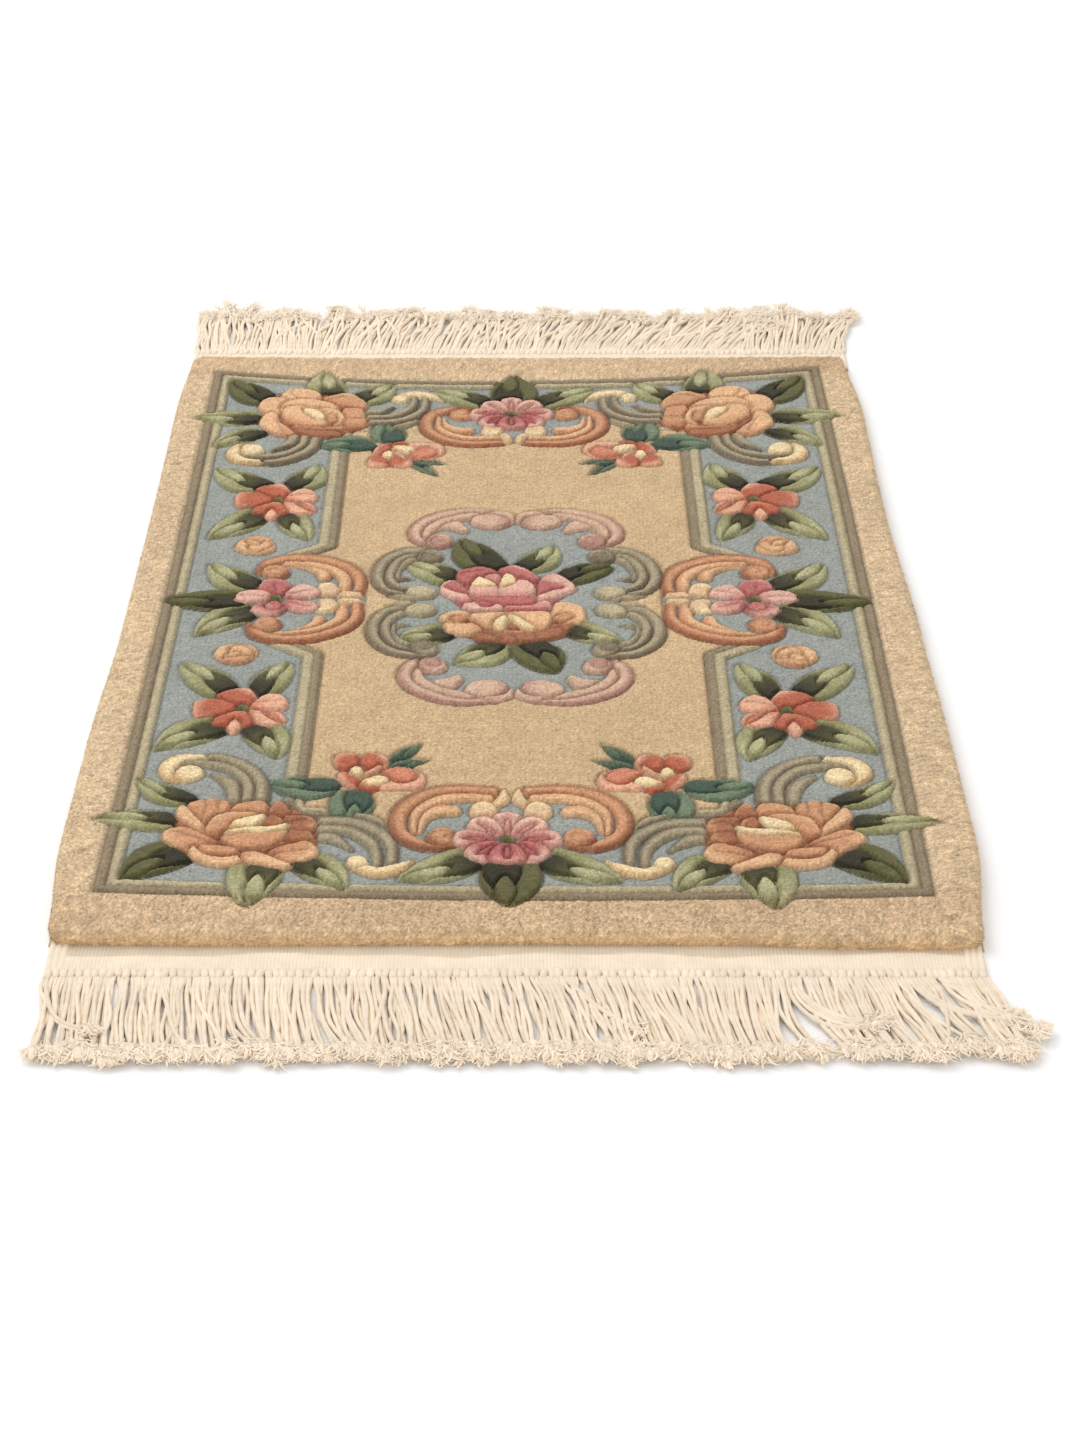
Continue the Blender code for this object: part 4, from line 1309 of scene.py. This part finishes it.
def build_foundation(pile, materials):
    """The woven ground under the pile and its bare ends, the pattern showing through it."""
    columns, u = thinned(pile.across, HALF_WIDTH)
    rows, v = thinned(pile.along, HALF_LENGTH)
    u, v = np.meshgrid(u, v)
    # The underside takes the pile's colours, their painted shade included, a little duller
    colour = pile.colour[np.ix_(rows, columns)] * UNDERSIDE_TONE
    x, y = woven(u, v)
    x = x + np.sign(x) * (np.abs(u) >= HALF_WIDTH)
    for end in (-1, 1):
        last = 0 if end < 0 else -1
        bare = np.clip(x[last], -BAND_HALF_WIDTH, BAND_HALF_WIDTH)
        rim = np.full(len(bare), (BAND_END - UNDERSIDE_INSET) * end)
        cotton = np.broadcast_to(WOOL["cotton_shade"], (2, len(bare), 3))
        x = lengthened(x, [bare, bare], end)
        y = lengthened(y, [y[last] + end, rim], end)
        colour = lengthened(colour, cotton, end)
    points = np.stack([x, y, np.full(x.shape, FOUNDATION_Z)], -1) * MM
    return piece(
        "foundation",
        points.reshape(-1, 3),
        grid_faces(*x.shape)[:, ::-1],
        colour,
        materials["pile"],
    )


def named(end, what):
    return ("near_" if end < 0 else "far_") + what


def band(end, material, rng):
    """The flat-woven band past the pile, its warps as ribs, and its thick selvedges."""
    x = np.linspace(-BAND_HALF_WIDTH, BAND_HALF_WIDTH, BAND_COLUMNS)
    x, out = np.meshgrid(x, BAND_ROWS)
    warps = np.cos(2 * math.pi * x / RIB)
    ribs = RIB_RISE * warps
    thick = ease(np.abs(x), BAND_HALF_WIDTH - SELVEDGE - 1, BAND_HALF_WIDTH - SELVEDGE + 1)
    turns = (BAND_HALF_WIDTH - np.abs(x)) / (SELVEDGE / SELVEDGE_CORDS)
    cords = SELVEDGE_RISE * np.abs(np.sin(math.pi * turns))
    z = BAND_TOP + ribs * (1 - thick) + cords * thick + 0.12 * patchy(x.shape, 3, rng)
    z[-1] = BAND_FOOT_Z
    wave = 1.8 * np.sin(x / 31.0) + 1.2 * np.sin(x / 13.0 + 1.0)
    cream = ease(out + wave, *CREAM_START)
    z += CREAM_RISE * cream * (1 - thick)
    colour = blended(WOOL["cotton_shade"], WOOL["cotton"], np.maximum(cream, thick))
    # Painted light on the ribs' crests and painted shade between them
    colour = colour * (1 + 0.05 * warps * (1 - thick))[..., None]
    pile_shadow = 1 - 0.25 * (1 - ease(out, *PILE_SHADOW))
    colour = colour * pile_shadow[..., None]
    points = np.stack([x, out * end, z], -1) * MM
    points[:, (0, -1), 2] = BAND_FOOT_Z * MM
    points[:, (1, -2), 0] = points[:, (0, -1), 0] + np.array((0.1, -0.1)) * MM
    faces = grid_faces(*x.shape)
    faces = faces if end > 0 else faces[:, ::-1]
    points = points.reshape(-1, 3)
    return piece(named(end, "band"), points, faces, colour, material)


def knots(end, material, rng):
    """The row of knots along the band's edge, each a soft, plump loop."""
    rings, sides = 7, 10
    up = np.linspace(-math.pi / 2, math.pi / 2, rings)[:, None]
    angle = np.linspace(0, 2 * math.pi, sides, endpoint=False)[None, :]
    plump = np.cos(up) ** 0.7
    ball = [signed_power(wave(angle), 0.75) * plump for wave in (np.cos, np.sin)]
    ball = np.stack([*ball, np.sin(up) + 0 * angle], -1).reshape(1, -1, 3)
    pitch = 2 * BAND_HALF_WIDTH / KNOTS
    size = rng.uniform((0.50, 0.86, 0.86), (0.62, 1.12, 1.12), (KNOTS, 3))
    size = (size * (pitch, KNOT_HALF_LENGTH, KNOT_HALF_HEIGHT))[:, None, :]
    x = (np.arange(KNOTS) + 0.5) * pitch - BAND_HALF_WIDTH + rng.normal(0, 0.4, KNOTS)
    y = end * (KNOT_END - KNOT_HALF_LENGTH + rng.normal(0, 0.6, KNOTS))
    centre = np.stack([x, y, np.full(KNOTS, KNOT_MIDDLE_Z)], -1)[:, None, :]
    points = ball * size
    points[..., 0] += rng.normal(0, 0.12, (KNOTS, 1)) * points[..., 1]
    points = centre + points
    points[..., 2] = np.maximum(points[..., 2], 0.2)
    row = np.arange(rings - 1)[:, None] * sides
    column = np.arange(sides)[None, :]
    after = (column + 1) % sides
    quad = np.stack([row + column, row + after, row + sides + after, row + sides + column], -1)
    faces = quad.reshape(1, -1, 4) + (np.arange(KNOTS) * rings * sides)[:, None, None]
    tone = WOOL["cotton"] * rng.normal(1, 0.025, (KNOTS, 1, 1))
    # Each knot is painted darker towards its foot: painted shade
    tone = tone * (0.84 + 0.16 * ease(points[..., 2:], 1.6, 4.0))
    points, faces = points.reshape(-1, 3) * MM, faces.reshape(-1, 4)
    return piece(named(end, "knots"), points, faces, tone, material)


# How the cords lie, near and far: x in mm, then the turn to the right, in degrees, of
# their roots, their middles and their ends
NEAR_LEANS = (
    (-300, 0, 2, -1),
    (-250, 3, 4, 6),
    (-205, 2, 5, 8),
    (-175, 3, 12, 26),
    (-150, 4, 6, 16),
    (-125, 2, 14, 24),
    (-100, 5, 6, 12),
    (-70, 8, 12, 12),
    (-25, 6, 12, 14),
    (5, 16, 8, 4),
    (30, 12, 14, 16),
    (60, 10, 10, 14),
    (85, 10, 20, 18),
    (110, 8, 8, 12),
    (150, 0, 4, 16),
    (170, 2, 10, 30),
    (215, 8, 14, 22),
    (245, 10, 16, 24),
    (275, 14, 24, 26),
    (300, 10, 12, 10),
)
FAR_LEANS = (
    (-300, -4, -4, 6),
    (-270, 0, -6, -4),
    (-240, 2, 4, 2),
    (-210, -4, -8, -2),
    (-180, 4, 8, 8),
    (-140, 8, 10, 14),
    (-100, 10, 16, 8),
    (-50, 12, 14, 16),
    (0, 8, 16, 18),
    (50, 14, 20, 16),
    (100, 22, 26, 18),
    (150, 24, 30, 26),
    (185, 26, 30, 22),
    (215, 4, 8, 6),
    (250, 8, 12, 10),
    (285, 12, 20, 24),
    (302, 8, 12, 10),
)
# Bundles of the near fringe that are swept aside: from x, to x, the turns, and the lift
SWEPT = (
    (172, 182, 2, 38, 96, 2.4),
    (250, 258, 12, 56, 92, 2.6),
    (267, 273, 22, 50, 58, 2.6),
    (-302, -299, 4, 24, 74, 2.8),
)
# The share of the cords that stray, how far out they may, and how high they lie, in mm
NEAR_STRAYS = 0.05
FAR_STRAYS = 0.16
STRAY_REACH = 285.0
STRAY_LIFT = 3.2
# How a cord's end swells into a tuft: along it and its radius, in mm
NEAR_TUFT = ((3.0, 2.1), (6.0, 2.4), (9.5, 1.9), (12.0, 0.4))
FAR_TUFT = ((3.0, 1.5), (6.0, 1.2), (8.5, 0.8), (10.0, 0.3))
# A cord's hairs, near and far: how many, their spread in radians, and the longest in mm
NEAR_HAIRS = (32, 0.6, 9.5)
FAR_HAIRS = (20, 0.3, 13.0)
# A hair's rungs: how far along it, and their width as a share of its own
HAIR_RUNGS = ((0.0, 1.0), (0.4, 1.0), (0.75, 0.75), (1.0, 0.25))
# How pale each rung of a hair is, against the cord: painted light that fills the fluff
HAIR_PAINTED_LIGHT = (1.04, 1.08, 1.12, 1.14)
# How far left and right the fringe reaches
REACH = (-332.0, 335.0)


def leanings(end, x, rng):
    """Each cord's turns at its root, middle and end in degrees, and how high it is lifted."""
    count = len(x)
    rows = np.array(NEAR_LEANS if end < 0 else FAR_LEANS, float)
    turns = np.stack([np.interp(x, rows[:, 0], rows[:, k]) for k in (1, 2, 3)], -1)
    shared = np.repeat(rng.normal(0, 1.4, (count // 6 + 1, 3)), 6, axis=0)[:count]
    turns += shared * (0.4, 1, 1) + rng.normal(0, 2.6, (count, 3)) * (0.6, 1, 1.4)
    lift = np.tile((0.0, 1.9, 0.3, 2.2), count // 4 + 1)[:count] + rng.uniform(0, 0.5, count)
    strays = NEAR_STRAYS if end < 0 else FAR_STRAYS
    stray = (rng.random(count) < strays) & (np.abs(x) < STRAY_REACH)
    turns[stray, 1:] += rng.normal(0, 17, (stray.sum(), 1))
    lift[stray] = STRAY_LIFT
    for low, high, root, middle, last, raised in SWEPT if end < 0 else ():
        chosen = (x > low) & (x < high)
        turns[chosen] = (root, middle, last) + rng.normal(0, 3.5, (chosen.sum(), 3))
        lift[chosen] = raised + rng.uniform(0, 1.2, chosen.sum())
    return turns, lift


def cord_lines(end, count, rng):
    """The cords' middle lines, in millimetres: cords, points, and x, y and z."""
    pitch = 2 * BAND_HALF_WIDTH / count
    x = (np.arange(count) + 0.5) * pitch - BAND_HALF_WIDTH + rng.normal(0, 0.2, count)
    turns, lift = leanings(end, x, rng)
    share = np.linspace(0, 1, CORD_STEPS)
    root, middle, last = turns.T[:, :, None]
    turn = root + (middle - root) * ease(share, 0.1, 0.6) + (last - middle) * ease(share, 0.5, 1)
    kink = rng.normal(0, 6, (count, 1)) * np.sin(math.pi * (share * 3 + rng.random((count, 1))))
    turn = np.radians(turn + kink)
    long = CORD_LENGTH + 4 + rng.normal(0, 3.0 if end < 0 else 4.5, (count, 1))
    if end > 0:
        bunches = np.repeat(rng.normal(0, 8.0, (count // 4 + 1, 1)), 4, axis=0)
        long += bunches[:count]
    long -= np.clip(lift[:, None] - 3, 0, 3) * 6
    step = long / (CORD_STEPS - 1)
    x = x[:, None] + np.cumsum(np.sin(turn) * step, 1) - np.sin(turn) * step
    y = KNOT_END - 7 + np.cumsum(np.cos(turn) * step, 1) - np.cos(turn) * step
    over = lift[:, None] * ease(share, 0.12, 0.35)
    z = CORD_RADIUS + 0.1 - 0.7 * (1 - ease(share, 0, 0.08)) + over
    return np.stack([x, end * y, z + 0 * x], -1), turn[:, -1], over[:, -1]


def tubes(lines, radii, sides):
    """Tubes round some lines of the same number of points, and their faces."""
    count, steps = lines.shape[:2]
    along = np.gradient(lines, axis=1)
    along /= np.linalg.norm(along, axis=-1, keepdims=True)
    across = np.cross(along, (0, 0, 1.0))
    across /= np.linalg.norm(across, axis=-1, keepdims=True)
    over = np.cross(across, along)
    angle = np.linspace(0, 2 * math.pi, sides, endpoint=False)
    ring = across[:, :, None] * np.cos(angle)[:, None] + over[:, :, None] * np.sin(angle)[:, None]
    points = lines[:, :, None] + ring * radii[..., None, None]
    index = np.arange(count * steps * sides).reshape(count, steps, sides)
    a, b = index[:, :-1], index[:, 1:]
    faces = np.stack([a, np.roll(a, -1, 2), np.roll(b, -1, 2), b], -1).reshape(-1, 4)
    return points, faces


def fringe(end, material, rng):
    """The fringe's cords, each thicker and frayed at its end."""
    count = CORDS_A_KNOT * KNOTS
    lines, headings, lift = cord_lines(end, count, rng)
    swelling = np.array(NEAR_TUFT if end < 0 else FAR_TUFT)
    extra = len(swelling)
    ahead = np.stack([np.sin(headings), end * np.cos(headings)], -1)[:, None]
    tail = np.zeros((count, extra, 3))
    tail[..., :2] = lines[:, -1:, :2] + ahead * swelling[None, :, :1]
    tail[..., 2] = 1.6 + swelling[:, 1] * 0.4 + lift[:, None] * (1, 0.9, 0.8, 0.7)
    lines = np.concatenate([lines, tail], 1)
    radii = np.full(lines.shape[:2], CORD_RADIUS) * rng.normal(1, 0.05, (count, 1))
    radii[:, 0] = 0.3
    radii[:, -extra:] = swelling[:, 1] * rng.uniform(0.6, 1.35, (count, extra))
    points, faces = tubes(lines, radii, CORD_SIDES)
    points[:, -extra:-1] += rng.normal(0, 0.7, points[:, -extra:-1].shape)
    points[..., 2] = np.maximum(points[..., 2], 0.1)
    points[..., 0] = np.clip(points[..., 0], *REACH)
    tone = WOOL["cotton"] * rng.normal(1, 0.03, (count, 1, 1, 1))
    # Painted shade low on each cord, towards the floor, and painted light on its swollen end
    under = 0.86 + 0.14 * ease(points[..., 2:], 0.6, 2.4)
    under[:, -extra:] = 1.08
    tone = tone * under
    points = points.reshape(-1, 3) * MM
    made = piece(named(end, "cords"), points, faces, tone, material)
    ply_coordinates(made, *lines.shape[:2])
    hairs = fray(end, lines[:, -extra], headings, lift, material, rng)
    return made, hairs


def ply_coordinates(made, count, steps):
    """UVs that wind round each cord as its plies do, one unit to a ply."""
    ring = np.arange(CORD_SIDES)
    start, after = ring / CORD_SIDES, (ring + 1) / CORD_SIDES
    first = np.stack([start, after, after, start], -1)
    row = np.arange(steps - 1)[:, None]
    winding = np.stack([row, row, row + 1, row + 1], -1) * PLIES_WOUND / STEPS_WOUND
    u = 2 * first[None] + winding
    u = np.broadcast_to(u[None], (count, steps - 1, CORD_SIDES, 4)).ravel()
    layer = made.data.uv_layers.new(name="ply")
    layer.data.foreach_set("uv", np.stack([u, 0 * u], -1).astype(np.float32).ravel())


def fray(end, roots, headings, lift, material, rng):
    """The cords' frayed ends: fine curved hairs that spread from each."""
    hairs, loose, long = NEAR_HAIRS if end < 0 else FAR_HAIRS
    count = len(roots) * hairs
    root = np.repeat(roots, hairs, axis=0)
    turn = np.repeat(headings, hairs) + rng.normal(0, loose, count)
    spread = rng.uniform(-2.0, 6.0, count)
    root[:, 0] += np.sin(turn) * spread + rng.normal(0, 1.3, count)
    root[:, 1] += end * np.cos(turn) * spread
    root[:, 2] += rng.uniform(0.8, 2.6, count) * (1.0 if end < 0 else 0.5)
    curve = rng.normal(0, 1.0, count)
    length = long * rng.uniform(0.5, 1.0, count)
    climb = np.repeat(lift, hairs) + np.abs(rng.normal(0, 1.1, count)) + 2.0 - root[:, 2]
    bow = 0.62
    if end > 0:
        climb, bow = rng.uniform(0.2, 1.8, count), 0.5
    width = rng.uniform(0.5, 1.1, count) * (1.5 if end < 0 else 1)
    points = []
    for share, thin in HAIR_RUNGS:
        heading = turn + curve * share
        x = root[:, 0] + np.sin(heading) * length * share
        y = root[:, 1] + end * np.cos(heading) * length * share
        z = root[:, 2] + climb * math.sin(math.pi * bow * share)
        z = np.maximum(z, 0.4)
        side = np.stack([np.cos(heading), -end * np.sin(heading)], -1) * (width * thin / 2)[:, None]
        for sign in (-1, 1):
            points.append(np.stack([x + sign * side[:, 0], y + sign * side[:, 1], z], -1))
    points = np.stack(points, 1)
    points[..., 0] = np.clip(points[..., 0], *REACH)
    rung = np.array(((0, 1, 3, 2), (2, 3, 5, 4), (4, 5, 7, 6)))
    faces = (rung[None] + (np.arange(count) * 8)[:, None, None]).reshape(-1, 4)
    faces = faces if end > 0 else faces[:, ::-1]
    tone = WOOL["cotton"] * rng.normal(1.0, 0.05, (count, 1, 1))
    tone = tone * np.repeat(HAIR_PAINTED_LIGHT, 2)[None, :, None]
    points = points.reshape(-1, 3) * MM
    up = rng.normal(0, 0.12, (count, 1, 3)) + (0, 0.35 * end, 1)
    up = np.broadcast_to(up / np.linalg.norm(up, axis=-1, keepdims=True), (count, 8, 3))
    up = up.reshape(-1, 3)
    return piece(named(end, "tufts"), points, faces, tone, material, up)


def build_ends(materials, rng):
    """Both woven ends, with their knots and fringes."""
    made = []
    for end, node in ((-1, "near_fringe"), (1, "far_fringe")):
        cords, tufts = fringe(end, materials["cord"], rng)
        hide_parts(node)
        made += [band(end, materials["cotton"], rng), knots(end, materials["cotton"], rng)]
        made += [cords, tufts]
    return made


def stage():
    """A pale floor and a soft pale surround."""
    bpy.ops.mesh.primitive_plane_add(size=FLOOR_SIZE, location=(0, 0, 0))
    floor = bpy.context.object
    floor.name = "floor"
    material, _, _, shader = node_tree("pale_floor")
    shader.inputs["Base Color"].default_value = FLOOR_COLOUR
    shader.inputs["Roughness"].default_value = 0.9
    floor.data.materials.append(material)
    world = bpy.data.worlds.new("studio")
    bpy.context.scene.world = world
    world.use_nodes = True
    sky = world.node_tree.nodes["Background"]
    sky.inputs["Color"].default_value = (1, 1, 1, 1)
    sky.inputs["Strength"].default_value = SKY_STRENGTH


def lamp(name, place, target, size, power):
    light = bpy.data.lights.new(name, "AREA")
    light.shape = "SQUARE"
    light.size = size
    light.energy = power
    made = bpy.data.objects.new(name, light)
    made.location = place
    made.rotation_euler = (Vector(target) - Vector(place)).to_track_quat("-Z", "Y").to_euler()
    bpy.context.scene.collection.objects.link(made)


def camera():
    """The photograph's view, its long side upright."""
    data = bpy.data.cameras.new("view")
    data.sensor_fit = "VERTICAL"
    data.sensor_height = 36.0
    data.lens = CAMERA_LENS
    data.shift_x = CAMERA_SHIFT / PHOTO_HEIGHT
    made = bpy.data.objects.new("view", data)
    made.location = CAMERA_PLACE
    made.rotation_euler = Euler((math.radians(90 - CAMERA_ANGLE), 0, 0))
    bpy.context.scene.collection.objects.link(made)
    bpy.context.scene.camera = made


def main():
    rng = np.random.default_rng(SEED)
    materials = {
        "pile": textile("wool_pile", knotty=True, **PILE),
        "fibre": textile("wool_fibre", **FIBRE),
        "cotton": textile("cotton_weave", **COTTON),
        "cord": cord_yarn(),
    }
    pile, pieces = build_pile(materials, rng)
    pieces += build_ends(materials, rng)
    foundation = build_foundation(pile, materials)
    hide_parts("rug_body")
    stage()
    lamp("key", place=(-1.6, 1.2, 2.6), target=(0, 0, 0), size=2.2, power=51)
    lamp("fill", place=(0.3, -2.6, 0.7), target=(0, -0.3, 0), size=1.6, power=13)
    camera()
    bpy.context.scene.view_settings.view_transform = "Standard"


main()
